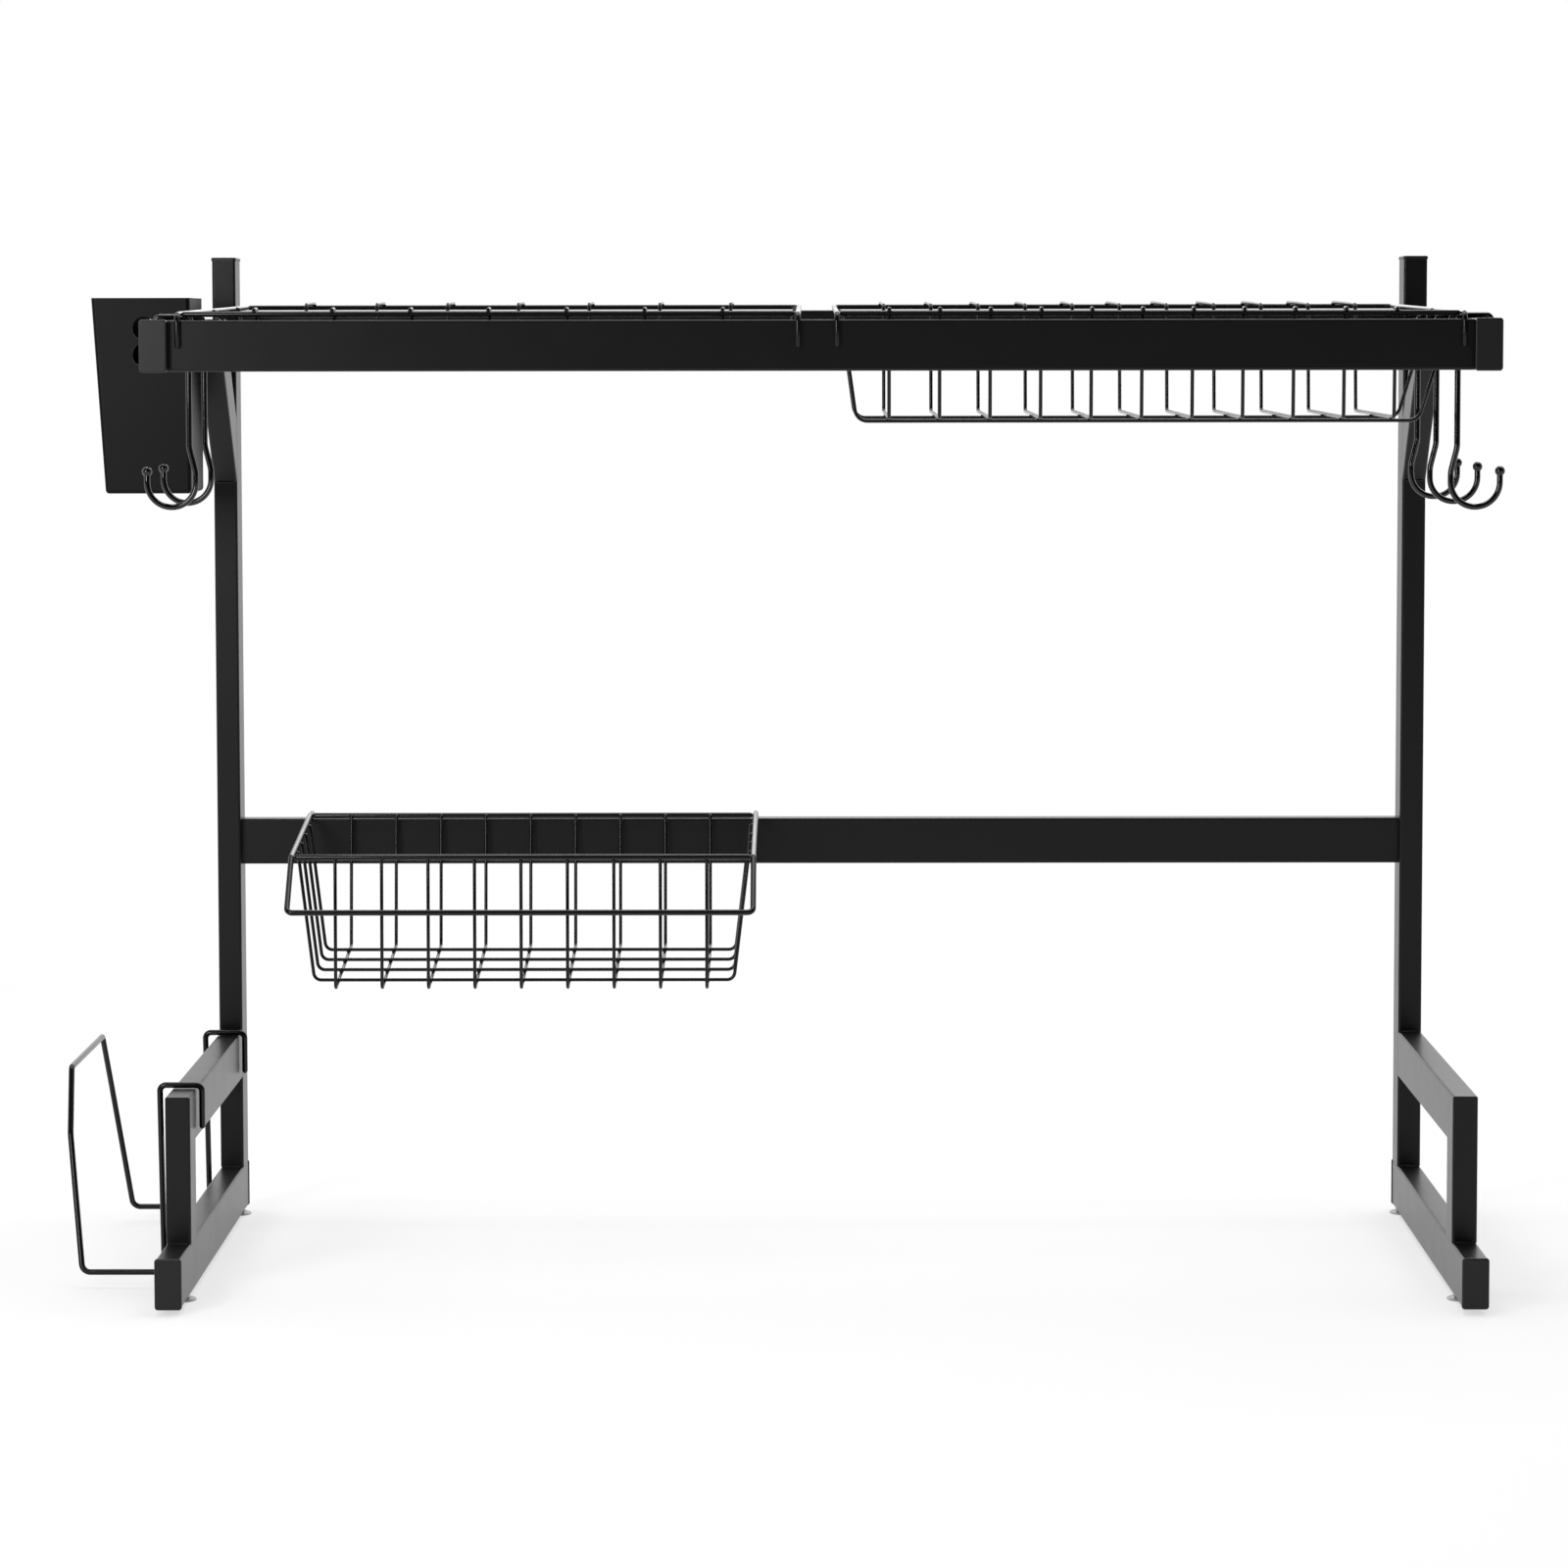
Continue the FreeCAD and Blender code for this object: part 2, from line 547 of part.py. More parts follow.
def shelf_parts():
    """Nodes of the plate rack on the left and the bowl basket on the right."""
    side = INNER_X - SHELF_SIDE_GAP
    plate = (-side, SHELF_SPLIT - SHELF_MIDDLE_GAP / 2)
    bowl = (SHELF_SPLIT + SHELF_MIDDLE_GAP / 2, side)
    plate_xs = spread(sum(plate) / 2, PLATE_WIRES, PLATE_PITCH)
    bowl_xs = spread(sum(bowl) / 2 + BOWL_SHIFT, BOWL_WIRES, BOWL_PITCH)
    return {
        "plate_rack_frame_wire": shelf_frame(*plate),
        "plate_rack_front_wire": shelf_front_wire(*plate),
        "plate_rack_cross_wires": Part.makeCompound([plate_cross_wire(x) for x in plate_xs]),
        "plate_rack_long_wires": Part.makeCompound([plate_run(y, *plate) for y in PLATE_RUNS]),
        "bowl_basket_frame_wire": shelf_frame(*bowl),
        "bowl_basket_front_wire": shelf_front_wire(*bowl),
        "bowl_basket_cross_wires": Part.makeCompound([bowl_cross_wire(x) for x in bowl_xs]),
        "bowl_basket_long_wires": Part.makeCompound([bowl_run(y, *bowl) for y in BOWL_RUNS]),
    }


# ---------------------------------------------------------------- hanging basket
BASKET_RIM_Y = BAR_FRONT_Y - FIT_GAP - BASKET_WIRE / 2
BASKET_RIM_Z = CROSSBAR_TOP + FIT_GAP + BASKET_WIRE / 2


def basket_rim_height(y):
    """Height of the side rims, which fall towards the front."""
    return BASKET_RIM_Z - BASKET_DROP * (BASKET_RIM_Y - y) / (BASKET_RIM_Y + BASKET_REACH)


def basket_frame():
    """Hook tail, side rim, towel bar, side rim and hook tail, in one bent wire."""
    tail_y = BAR_BACK_Y + FIT_GAP + BASKET_WIRE / 2
    bar_y = -BASKET_REACH - BASKET_LOOP_REACH
    bar_z = basket_rim_height(-BASKET_REACH) - BASKET_LOOP_DROP
    side = [(tail_y, BASKET_RIM_Z - BASKET_TAIL), (tail_y, BASKET_RIM_Z), (BASKET_RIM_Y, BASKET_RIM_Z),
            (-BASKET_REACH, basket_rim_height(-BASKET_REACH)), (bar_y, bar_z)]
    left = [Vec(BASKET_CENTRE - BASKET_HALF, y, z) for y, z in side]
    right = [Vec(BASKET_CENTRE + BASKET_HALF, y, z) for y, z in side]
    bends = [BASKET_TAIL_BEND, BASKET_BEND, BASKET_BEND, BASKET_BAR_BEND]
    return bent_wire(left + right[::-1], BASKET_WIRE, bends + bends[::-1])


def basket_rim(y):
    """Straight rim wire between the two side rims."""
    half = BASKET_HALF - BASKET_WIRE / 2 + WELD_BITE
    z = basket_rim_height(y)
    return straight_wire(Vec(BASKET_CENTRE - half, y, z), Vec(BASKET_CENTRE + half, y, z), BASKET_WIRE)


def basket_floor(y):
    """Height of the bottom cross wires, which fall towards the front."""
    back = BASKET_RIM_Y - BASKET_BACK_LEAN
    back_z = BASKET_RIM_Z - BASKET_BACK_DEPTH
    front_z = basket_rim_height(-BASKET_REACH) - BASKET_FRONT_DEPTH
    return back_z + (front_z - back_z) * (back - y) / (back + BASKET_REACH)


def basket_cross_wire(x):
    """Rear wall, floor and front wall in one wire, welded to the insides of the rims."""
    weld = (BASKET_WIRE + GRID_WIRE) / 2 - WELD_BITE
    back_low = BASKET_RIM_Y - BASKET_BACK_LEAN
    path = [(BASKET_RIM_Y - weld, BASKET_RIM_Z + WELD_RISE), (back_low, basket_floor(back_low)),
            (-BASKET_REACH, basket_floor(-BASKET_REACH)),
            (-BASKET_REACH + weld, basket_rim_height(-BASKET_REACH) + WELD_RISE)]
    return bent_wire([Vec(x, y, z) for y, z in path], GRID_WIRE, GRID_BEND)


def basket_run(y):
    """Long wire on the basket's floor, bent up into its end walls."""
    weld = (BASKET_WIRE + GRID_WIRE) / 2 - WELD_BITE
    floor = basket_floor(y) + GRID_WIRE - WELD_BITE
    top = basket_rim_height(y) + WELD_RISE
    half_top, half_low = BASKET_HALF - weld, BASKET_HALF - BASKET_CORNER_INSET
    path = [(-half_top, top), (-half_low, floor), (half_low, floor), (half_top, top)]
    return bent_wire([Vec(BASKET_CENTRE + x, y, z) for x, z in path], GRID_WIRE, BASKET_RUN_BEND)


def basket_parts():
    """Nodes of the basket that hangs on the crossbar."""
    xs = spread(BASKET_CENTRE + BASKET_SHIFT, BASKET_WIRES, BASKET_PITCH)
    return {
        "hanging_basket_frame_wire": basket_frame(),
        "hanging_basket_rear_rim": basket_rim(BASKET_RIM_Y),
        "hanging_basket_front_rim": basket_rim(-BASKET_REACH),
        "hanging_basket_cross_wires": Part.makeCompound([basket_cross_wire(x) for x in xs]),
        "hanging_basket_long_wires": Part.makeCompound([basket_run(y) for y in BASKET_RUNS]),
    }


# ---------------------------------------------------------------- cutlery cup
CUP_INNER_X = -OUTER_X - CUP_ARM_GAP


def cup_outline(inset):
    """(x, z) outline of the cup seen from the front, moved in by a wall thickness."""
    top = ARM_TOP + CUP_ABOVE_ARM
    low = top - CUP_HEIGHT + inset
    slope = (CUP_TOP_WIDTH - CUP_BOTTOM_WIDTH) / CUP_HEIGHT
    top_out = CUP_INNER_X - CUP_TOP_WIDTH + inset
    low_out = CUP_INNER_X - CUP_BOTTOM_WIDTH + inset - slope * inset
    return [(CUP_INNER_X - inset, top), (CUP_INNER_X - inset, low), (low_out, low), (top_out, top)]


def cup_block(inset, top_extra):
    """Solid of the cup's outside, or of its inside when inset is the wall."""
    raised = (top_extra, 0, 0, top_extra)
    ring = [Vec(x, CUP_FRONT + inset, z + extra) for (x, z), extra in zip(cup_outline(inset), raised)]
    length = CUP_BACK - CUP_FRONT - 2 * inset
    block = Part.Face(Part.makePolygon(ring + [ring[0]])).extrude(Vec(0, length, 0))
    radius = max(CUP_CORNER - inset, 0.6)
    upright = [e for e in block.Edges if e.BoundBox.ZLength > CUP_HEIGHT / 2]
    level = [e for e in block.Edges if e.BoundBox.ZMax < ARM_TOP + CUP_ABOVE_ARM - CUP_HEIGHT / 2]
    return block.makeFillet(radius, upright + level)


def cutlery_cup():
    """Tapered sheet-metal cup with two round windows front and back and slots in its floor."""
    cup = cup_block(0.0, 0.0).cut(cup_block(CUP_WALL, 5.0))
    top = ARM_TOP + CUP_ABOVE_ARM
    middle_x = CUP_INNER_X - (CUP_TOP_WIDTH + CUP_BOTTOM_WIDTH) / 4
    for drop in CUP_HOLE_DROPS:
        start = Vec(middle_x, CUP_FRONT - 1, top - drop)
        cup = cup.cut(round_rod(start, Vec(middle_x, CUP_BACK + 1, top - drop), CUP_HOLE_RADIUS))
    slot_width, slot_length = CUP_DRAIN
    for x in spread(middle_x, 3, CUP_DRAIN_PITCH):
        slot = rounded_bar(slot_width, slot_length, 3 * CUP_WALL, slot_width / 2 - 0.1)
        slot.translate(Vec(x, (CUP_FRONT + CUP_BACK) / 2, top - CUP_HEIGHT - CUP_WALL))
        cup = cup.cut(slot)
    return cup


def cup_strap(y):
    """Flat hook that runs from the cup over the arm and down its inner face."""
    over = ARM_TOP + FIT_GAP
    inner = -INNER_X + FIT_GAP
    low = over - CUP_STRAP_DROP
    outline = [(CUP_INNER_X, over), (inner, over), (inner, low), (inner + CUP_WALL, low),
               (inner + CUP_WALL, over + CUP_WALL), (CUP_INNER_X, over + CUP_WALL)]
    ring = [Vec(x, y, z) for x, z in outline]
    strap = Part.Face(Part.makePolygon(ring + [ring[0]])).extrude(Vec(0, CUP_STRAP_WIDTH, 0))
    far = [e for e in strap.Edges if e.BoundBox.XMin > inner + CUP_WALL - 1e-3]
    bend = [e for e in far if e.BoundBox.ZMin > over + CUP_WALL - 1e-3]
    return strap.makeFillet(CUP_WALL * 0.8, bend)


def cup_parts():
    """Nodes of the cutlery holder."""
    front = CUP_FRONT + CUP_STRAP_INSET
    rear = CUP_BACK - CUP_STRAP_INSET - CUP_STRAP_WIDTH
    return {
        "cutlery_cup": cutlery_cup(),
        "cutlery_cup_front_strap": cup_strap(front),
        "cutlery_cup_rear_strap": cup_strap(rear),
    }


# ---------------------------------------------------------------- hooks and board holder
def s_hook(y):
    """Utensil hook over the right arm, its open bowl towards the outside."""
    out = OUTER_X + FIT_GAP + HOOK_WIRE / 2
    shank = INNER_X - FIT_GAP - HOOK_WIRE / 2
    top = ARM_TOP + FIT_GAP + HOOK_WIRE / 2
    inner = shank - HOOK_JOG
    outer = inner + 2 * HOOK_BOWL_RADIUS
    low = ARM_TOP - HOOK_LENGTH + HOOK_WIRE / 2
    tip = Vec(outer, y, low + HOOK_BOWL_RADIUS + HOOK_TIP_RISE)
    path = [Vec(out, y, ARM_TOP - HOOK_LIP), Vec(out, y, top), Vec(shank, y, top),
            Vec(shank, y, ARM_TOP - HOOK_JOG_START),
            Vec(inner, y, ARM_TOP - HOOK_JOG_START - HOOK_JOG_LENGTH),
            Vec(inner, y, low), Vec(outer, y, low), tip]
    bowl_bend = HOOK_BOWL_RADIUS - 0.05
    bends = [*HOOK_TOP_BENDS, HOOK_JOG_BEND, HOOK_JOG_BEND, bowl_bend, bowl_bend]
    wire = bent_wire(path, HOOK_WIRE, bends)
    ball = Part.makeSphere(HOOK_BALL_RADIUS, tip)
    return wire.fuse(ball)


def board_holder():
    """One wire: two hooks over the left low bar, joined outside by a leaning loop."""
    shank = -OUTER_X - HOLDER_OUTER_GAP - HOLDER_WIRE / 2
    shank_low = -OUTER_X - HOLDER_LOW_GAP - HOLDER_WIRE / 2
    inside = -INNER_X + HOLDER_INNER_GAP + HOLDER_WIRE / 2
    top = WINDOW_TOP + FIT_GAP + HOLDER_WIRE / 2
    front = -WINDOW_REACH + TUBE_DEEP + HOLDER_FRONT_GAP
    rear = -HOLDER_REAR_GAP

    def half(y, inward):
        waist = Vec(-OUTER_X - HOLDER_WAIST_OUT, y + inward * HOLDER_WAIST_IN, HOLDER_WAIST)
        peak = Vec(-OUTER_X - HOLDER_TOP_OUT, y + inward * HOLDER_TOP_IN, HOLDER_TOP)
        return [Vec(inside, y, top - HOLDER_HOOK_DROP), Vec(inside, y, top), Vec(shank, y, top),
                Vec(shank_low, y, HOLDER_BOTTOM), Vec(-OUTER_X - HOLDER_BASE_OUT, y, HOLDER_BOTTOM),
                waist, peak]

    points = half(front, 1) + half(rear, -1)[::-1]
    bends = [HOLDER_HOOK_BEND, HOLDER_HOOK_BEND, HOLDER_BEND, HOLDER_BEND]
    bends += [HOLDER_WAIST_BEND, HOLDER_TOP_BEND]
    return bent_wire(points, HOLDER_WIRE, bends + bends[::-1])


# ---------------------------------------------------------------- the whole rack
def frame_parts():
    """Nodes of the welded side frames, the rails and what fixes them together."""
    x_axis = Vec(1, 0, 0)
    foot_middle = FOOT_GAP + TUBE_DEEP / 2
    arm_end = Vec(MIDDLE_X, -ARM_REACH, ARM_TOP - TUBE_DEEP / 2)
    parts = {}
    sided = {
        "foot_tube": foot_tube(),
        "foot_front_cap": end_cap(Vec(MIDDLE_X, -FOOT_REACH, foot_middle), Vec(0, -1, 0), x_axis),
        "foot_rear_cap": end_cap(Vec(MIDDLE_X, TUBE_DEEP, foot_middle), Vec(0, 1, 0), x_axis),
        "rear_post": rear_post(),
        "post_top_cap": end_cap(Vec(MIDDLE_X, POST_MIDDLE_Y, POST_TOP), Vec(0, 0, 1), x_axis),
        "low_upright": low_upright(),
        "low_bar": low_bar(),
        "arm_brace": brace(),
        "top_arm": arm(),
        "arm_front_cap": end_cap(arm_end, Vec(0, -1, 0), x_axis),
        "front_suction_foot": suction_foot(pad_places()[0]),
        "rear_suction_foot": suction_foot(pad_places()[1]),
    }
    for name, shape in sided.items():
        parts["left_" + name], parts["right_" + name] = both_sides(shape)
    parts["front_rail"] = cross_rail(RAIL_FRONT_Y, ARM_TOP)
    parts["rear_rail"] = cross_rail(BAR_FRONT_Y, REAR_RAIL_TOP)
    parts["crossbar"] = cross_rail(BAR_FRONT_Y, CROSSBAR_TOP)
    rail_ends = [(RAIL_FRONT_Y + TUBE_THIN / 2, ARM_TOP), (POST_MIDDLE_Y, REAR_RAIL_TOP),
                 (POST_MIDDLE_Y, CROSSBAR_TOP)]
    blocks = [side for y, top in rail_ends for side in both_sides(thread_block(y, top))]
    screws = [side for y, z in screw_places() for side in both_sides(rail_screw(y, z))]
    parts["rail_thread_blocks"] = Part.makeCompound(blocks)
    parts["rail_screws"] = Part.makeCompound(screws)
    return parts


def hook_parts():
    """One node for each utensil hook."""
    parts = {name: mirrored(s_hook(y)) for name, y in LEFT_HOOKS.items()}
    parts.update({name: s_hook(y) for name, y in RIGHT_HOOKS.items()})
    return parts


def main():
    """Build every node, centre the rack over the origin and write the files."""
    os.makedirs("parts", exist_ok=True)
    parts = frame_parts()
    parts.update(shelf_parts())
    parts.update(basket_parts())
    parts.update(cup_parts())
    parts.update(hook_parts())
    parts["board_holder_wire"] = board_holder()
    box = Part.makeCompound(list(parts.values())).BoundBox
    shift = Vec(-box.Center.x, -box.Center.y, -box.ZMin)
    for name, shape in parts.items():
        shape.translate(shift)
        shape.exportStep(f"parts/{name}.step")
    print(f"{len(parts)} nodes, {box.XLength:.1f} x {box.YLength:.1f} x {box.ZLength:.1f}, "
          f"moved by {shift.x:.3f}, {shift.y:.3f}, {shift.z:.3f}")


main()
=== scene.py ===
"""Over-sink dish drying rack: powder-coated tube frame, wire shelves and hanging pieces.

Every part is drawn in the rack's own millimetres: x = 0 is the middle of the frame, y = 0 the
front face of the rear posts, with the user at -y, and z = 0 the worktop. Datum.place turns such
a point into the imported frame's metres.
"""
import json
import logging
import math
from collections.abc import Iterable, Sequence
from dataclasses import dataclass
from enum import Enum
from typing import Any, ClassVar

import bmesh
import bpy
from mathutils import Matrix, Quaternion, Vector


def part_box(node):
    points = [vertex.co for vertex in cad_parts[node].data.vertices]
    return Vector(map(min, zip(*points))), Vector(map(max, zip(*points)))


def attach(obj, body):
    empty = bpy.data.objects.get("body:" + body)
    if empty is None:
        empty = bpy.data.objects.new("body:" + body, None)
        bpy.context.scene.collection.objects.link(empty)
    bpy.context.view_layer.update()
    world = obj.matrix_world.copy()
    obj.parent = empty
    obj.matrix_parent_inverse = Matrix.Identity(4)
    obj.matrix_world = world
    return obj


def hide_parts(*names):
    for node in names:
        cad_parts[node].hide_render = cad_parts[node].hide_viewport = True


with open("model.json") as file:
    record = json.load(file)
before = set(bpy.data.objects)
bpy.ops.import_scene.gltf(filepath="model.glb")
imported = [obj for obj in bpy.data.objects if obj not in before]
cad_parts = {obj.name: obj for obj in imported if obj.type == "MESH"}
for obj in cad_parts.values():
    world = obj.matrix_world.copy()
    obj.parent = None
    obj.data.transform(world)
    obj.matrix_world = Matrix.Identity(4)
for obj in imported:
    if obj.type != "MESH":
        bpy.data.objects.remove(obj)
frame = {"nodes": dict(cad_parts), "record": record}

LOG = logging.getLogger("dish_rack")
MM = 0.001
SHELF_SIDE_GAP = 5.1
SHELF_SPLIT = -1.5
SHELF_MIDDLE_GAP = 18.7
RANDOM_SEED = 11
Route = list[Vector]
Colour = tuple[float, float, float]


class Slot(Enum):
    """The record's material slots."""

    TUBE = "coated_tube"
    WIRE = "coated_wire"
    SHEET = "coated_sheet"
    HOOK = "hook_coating"
    CAP = "cap_plastic"
    BLOCK = "block_plastic"
    RUBBER = "suction_rubber"
    SCREW = "screw_steel"


class Side(Enum):
    """The two side frames, with the sign of their x."""

    LEFT = -1
    RIGHT = 1

    @property
    def prefix(self) -> str:
        """Start of the names of this side's nodes."""
        return self.name.lower() + "_"


# ---------------------------------------------------------------- node trees
class Sketch:
    """Adds nodes to a tree from left to right and joins them."""

    def __init__(self, tree: bpy.types.NodeTree) -> None:
        """Start on a tree.

        Args:
            tree: a shader or geometry tree, which may already hold nodes.
        """
        self.tree = tree
        self.column = 0

    def node(self, kind: str, values: dict[Any, Any] | None = None, **settings: Any) -> bpy.types.Node:
        """Add one node.

        Args:
            kind: the node's type name.
            values: input names or numbers with the values they hold, or the sockets they read.
            settings: the node's own properties.

        Returns:
            The new node.
        """
        made = self.tree.nodes.new(kind)
        made.location = (self.column * 180, 0)
        self.column += 1
        for name, value in settings.items():
            setattr(made, name, value)
        for name, value in (values or {}).items():
            if isinstance(value, bpy.types.NodeSocket):
                self.tree.links.new(value, made.inputs[name])
            else:
                made.inputs[name].default_value = value
        return made


@dataclass(frozen=True)
class Finish:
    """A surface with two scales of bump, patchy colour and patchy roughness."""

    name: str
    colour: Colour
    patch_colour: Colour
    roughness: tuple[float, float]
    wave_size: float
    wave_height: float
    grain_size: float
    grain_height: float
    metallic: float = 0.0
    specular: float = 0.5
    coat: float = 0.0
    coat_roughness: float = 0.1
    transmission: float = 0.0
    subsurface: float = 0.0
    patch_size: float = 60.0

    def material(self) -> bpy.types.Material:
        """The finish's material, made on first use.

        Returns:
            The material that every piece of this finish shares.
        """
        found = bpy.data.materials.get(self.name)
        if found:
            return found
        made = bpy.data.materials.new(self.name)
        made.use_nodes = True
        made.node_tree.nodes.clear()
        self.draw(Sketch(made.node_tree))
        return made

    def noise(self, sketch: Sketch, size: float, detail: float) -> bpy.types.NodeSocket:
        """Noise on the piece's own coordinates.

        Args:
            sketch: the tree being drawn.
            size: size of one patch of noise, in millimetres.
            detail: octaves of noise.

        Returns:
            The noise's value socket.
        """
        place = sketch.node("ShaderNodeTexCoord").outputs["Object"]
        values = {"Vector": place, "Scale": 1 / (size * MM), "Detail": detail}
        return sketch.node("ShaderNodeTexNoise", values).outputs[0]

    def draw(self, sketch: Sketch) -> None:
        """Draw the shader.

        Args:
            sketch: an empty material tree.
        """
        patches = self.noise(sketch, self.patch_size, 3.0)
        colour = sketch.node("ShaderNodeMix", {0: patches}, data_type="RGBA")
        colour.inputs["A"].default_value = (*self.colour, 1)
        colour.inputs["B"].default_value = (*self.patch_colour, 1)
        rubbed = self.noise(sketch, self.patch_size / 3, 4.0)
        low, high = self.roughness
        gloss = sketch.node("ShaderNodeMapRange", {
            "Value": rubbed, "From Min": 0.3, "From Max": 0.7, "To Min": low, "To Max": high})
        wave = sketch.node("ShaderNodeBump", {
            "Height": self.noise(sketch, self.wave_size, 2.0), "Strength": 1.0,
            "Distance": self.wave_height * MM})
        grain = sketch.node("ShaderNodeBump", {
            "Height": self.noise(sketch, self.grain_size, 2.0), "Strength": 1.0,
            "Distance": self.grain_height * MM, "Normal": wave.outputs[0]})
        shader = sketch.node("ShaderNodeBsdfPrincipled", {
            "Base Color": colour.outputs["Result"], "Roughness": gloss.outputs[0],
            "Normal": grain.outputs[0], "Metallic": self.metallic,
            "Specular IOR Level": self.specular, "Coat Weight": self.coat,
            "Coat Roughness": self.coat_roughness, "Transmission Weight": self.transmission,
            "Subsurface Weight": self.subsurface, "Subsurface Scale": MM})
        sketch.node("ShaderNodeOutputMaterial", {"Surface": shader.outputs[0]})


POWDER_COAT = Finish("satin_black_powder_coat", (0.0026, 0.0026, 0.0027), (0.0034, 0.0034, 0.0035),
                     (0.305, 0.325), 2.4, 0.0015, 0.4, 0.001, specular=0.26)
SHEET_COAT = Finish("smooth_black_sheet_coat", (0.0022, 0.0022, 0.0023), (0.0028, 0.0028, 0.0029),
                    (0.36, 0.40), 3.0, 0.0015, 0.4, 0.001, specular=0.12)
WIRE_COAT = Finish("semi_gloss_wire_coat", (0.0022, 0.0022, 0.0023), (0.0030, 0.0030, 0.0031),
                   (0.17, 0.23), 1.6, 0.004, 0.3, 0.0012, specular=0.3)
WELD_COAT = Finish("coat_over_welds", (0.0026, 0.0026, 0.0027), (0.0036, 0.0036, 0.0037),
                   (0.24, 0.34), 0.8, 0.02, 0.25, 0.004, specular=0.28, patch_size=15.0)
GLOSS_DIP = Finish("gloss_black_dip_coat", (0.0018, 0.0018, 0.0019), (0.0024, 0.0024, 0.0025),
                   (0.09, 0.14), 5.0, 0.02, 0.8, 0.001, specular=0.35, coat=0.25, coat_roughness=0.05)
CAP_PLASTIC = Finish("moulded_black_plastic", (0.0055, 0.0055, 0.0057), (0.0068, 0.0068, 0.0070),
                     (0.36, 0.43), 1.2, 0.004, 0.22, 0.004, specular=0.34)
NYLON = Finish("dull_nylon", (0.03, 0.03, 0.031), (0.04, 0.04, 0.041),
               (0.5, 0.6), 1.5, 0.02, 0.3, 0.01)
SOFT_VINYL = Finish("cloudy_soft_vinyl", (0.36, 0.37, 0.38), (0.44, 0.45, 0.46),
                    (0.30, 0.42), 3.0, 0.03, 0.5, 0.004, transmission=0.35, subsurface=0.3,
                    patch_size=8.0)
BLACK_STEEL = Finish("blackened_steel", (0.05, 0.05, 0.053), (0.075, 0.075, 0.078),
                     (0.3, 0.42), 0.9, 0.008, 0.2, 0.003, metallic=1.0, patch_size=4.0)


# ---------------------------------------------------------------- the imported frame
@dataclass(frozen=True)
class Datum:
    """Where the rack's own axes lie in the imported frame, and what stands on them."""

    origin: Vector
    inner_x: float
    outer_x: float
    tube_deep: float
    arm_top: float
    rail_front: float
    rail_back: float
    bar_front: float
    bar_back: float
    rear_rail_top: float
    crossbar_top: float
    window_top: float
    window_front: float
    foot_top: float
    brace_foot: float

    @classmethod
    def measured(cls) -> "Datum":
        """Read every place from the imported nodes' boxes.

        Returns:
            The datum, in millimetres of the rack's own axes.
        """
        post_low, post_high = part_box("right_rear_post")
        far_low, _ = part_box("left_rear_post")
        origin = Vector(((far_low.x + post_high.x) / 2, post_low.y, 0.0))

        def spot(node: str, end: int) -> Vector:
            """One end of a node's box in the rack's millimetres."""
            return (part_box(node)[end] - origin) / MM

        return cls(origin, spot("right_rear_post", 0).x, spot("right_rear_post", 1).x,
                   (post_high.y - post_low.y) / MM, spot("right_top_arm", 1).z,
                   spot("front_rail", 0).y, spot("front_rail", 1).y, spot("crossbar", 0).y,
                   spot("crossbar", 1).y, spot("rear_rail", 1).z, spot("crossbar", 1).z,
                   spot("right_low_bar", 1).z, spot("right_low_bar", 0).y,
                   spot("right_foot_tube", 1).z, spot("right_arm_brace", 0).z)

    def place(self, point: Vector) -> Vector:
        """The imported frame's metres for a point in the rack's millimetres."""
        return self.origin + point * MM

    @property
    def rail_middle(self) -> float:
        """y of the middle of the front rail."""
        return (self.rail_front + self.rail_back) / 2


# ---------------------------------------------------------------- routes
def bent_route(points: Sequence[Vector], bends: float | Sequence[float], steps: int = 7) -> Route:
    """Line through straight runs with round bends between them.

    Args:
        points: corners of the line, with both ends.
        bends: one radius for every corner, or one for each.
        steps: pieces that each bend is made of.

    Returns:
        The line's points.
    """
    radii = [bends] * (len(points) - 2) if isinstance(bends, (int, float)) else bends
    route = [points[0]]
    for before, corner, after, radius in zip(points, points[1:], points[2:], radii):
        arrive = (corner - before).normalized()
        leave = (after - corner).normalized()
        turn = arrive.angle(leave)
        centre = corner + (leave - arrive).normalized() * (radius / math.cos(turn / 2))
        start = corner - arrive * (radius * math.tan(turn / 2)) - centre
        for step in range(steps + 1):
            angle = turn * step / steps
            route.append(centre + start * math.cos(angle) + arrive * (radius * math.sin(angle)))
    route.append(points[-1])
    return route


def in_side_view(x: float, path: Iterable[tuple[float, float]]) -> Route:
    """Points of a (y, z) path that lies in one plane of constant x."""
    return [Vector((x, y, z)) for y, z in path]


def in_front_view(y: float, path: Iterable[tuple[float, float]]) -> Route:
    """Points of an (x, z) path that lies in one plane of constant y."""
    return [Vector((x, y, z)) for x, z in path]


def spread(centre: float, count: int, pitch: float) -> list[float]:
    """Evenly spaced places about a centre."""
    return [centre + (index - (count - 1) / 2) * pitch for index in range(count)]


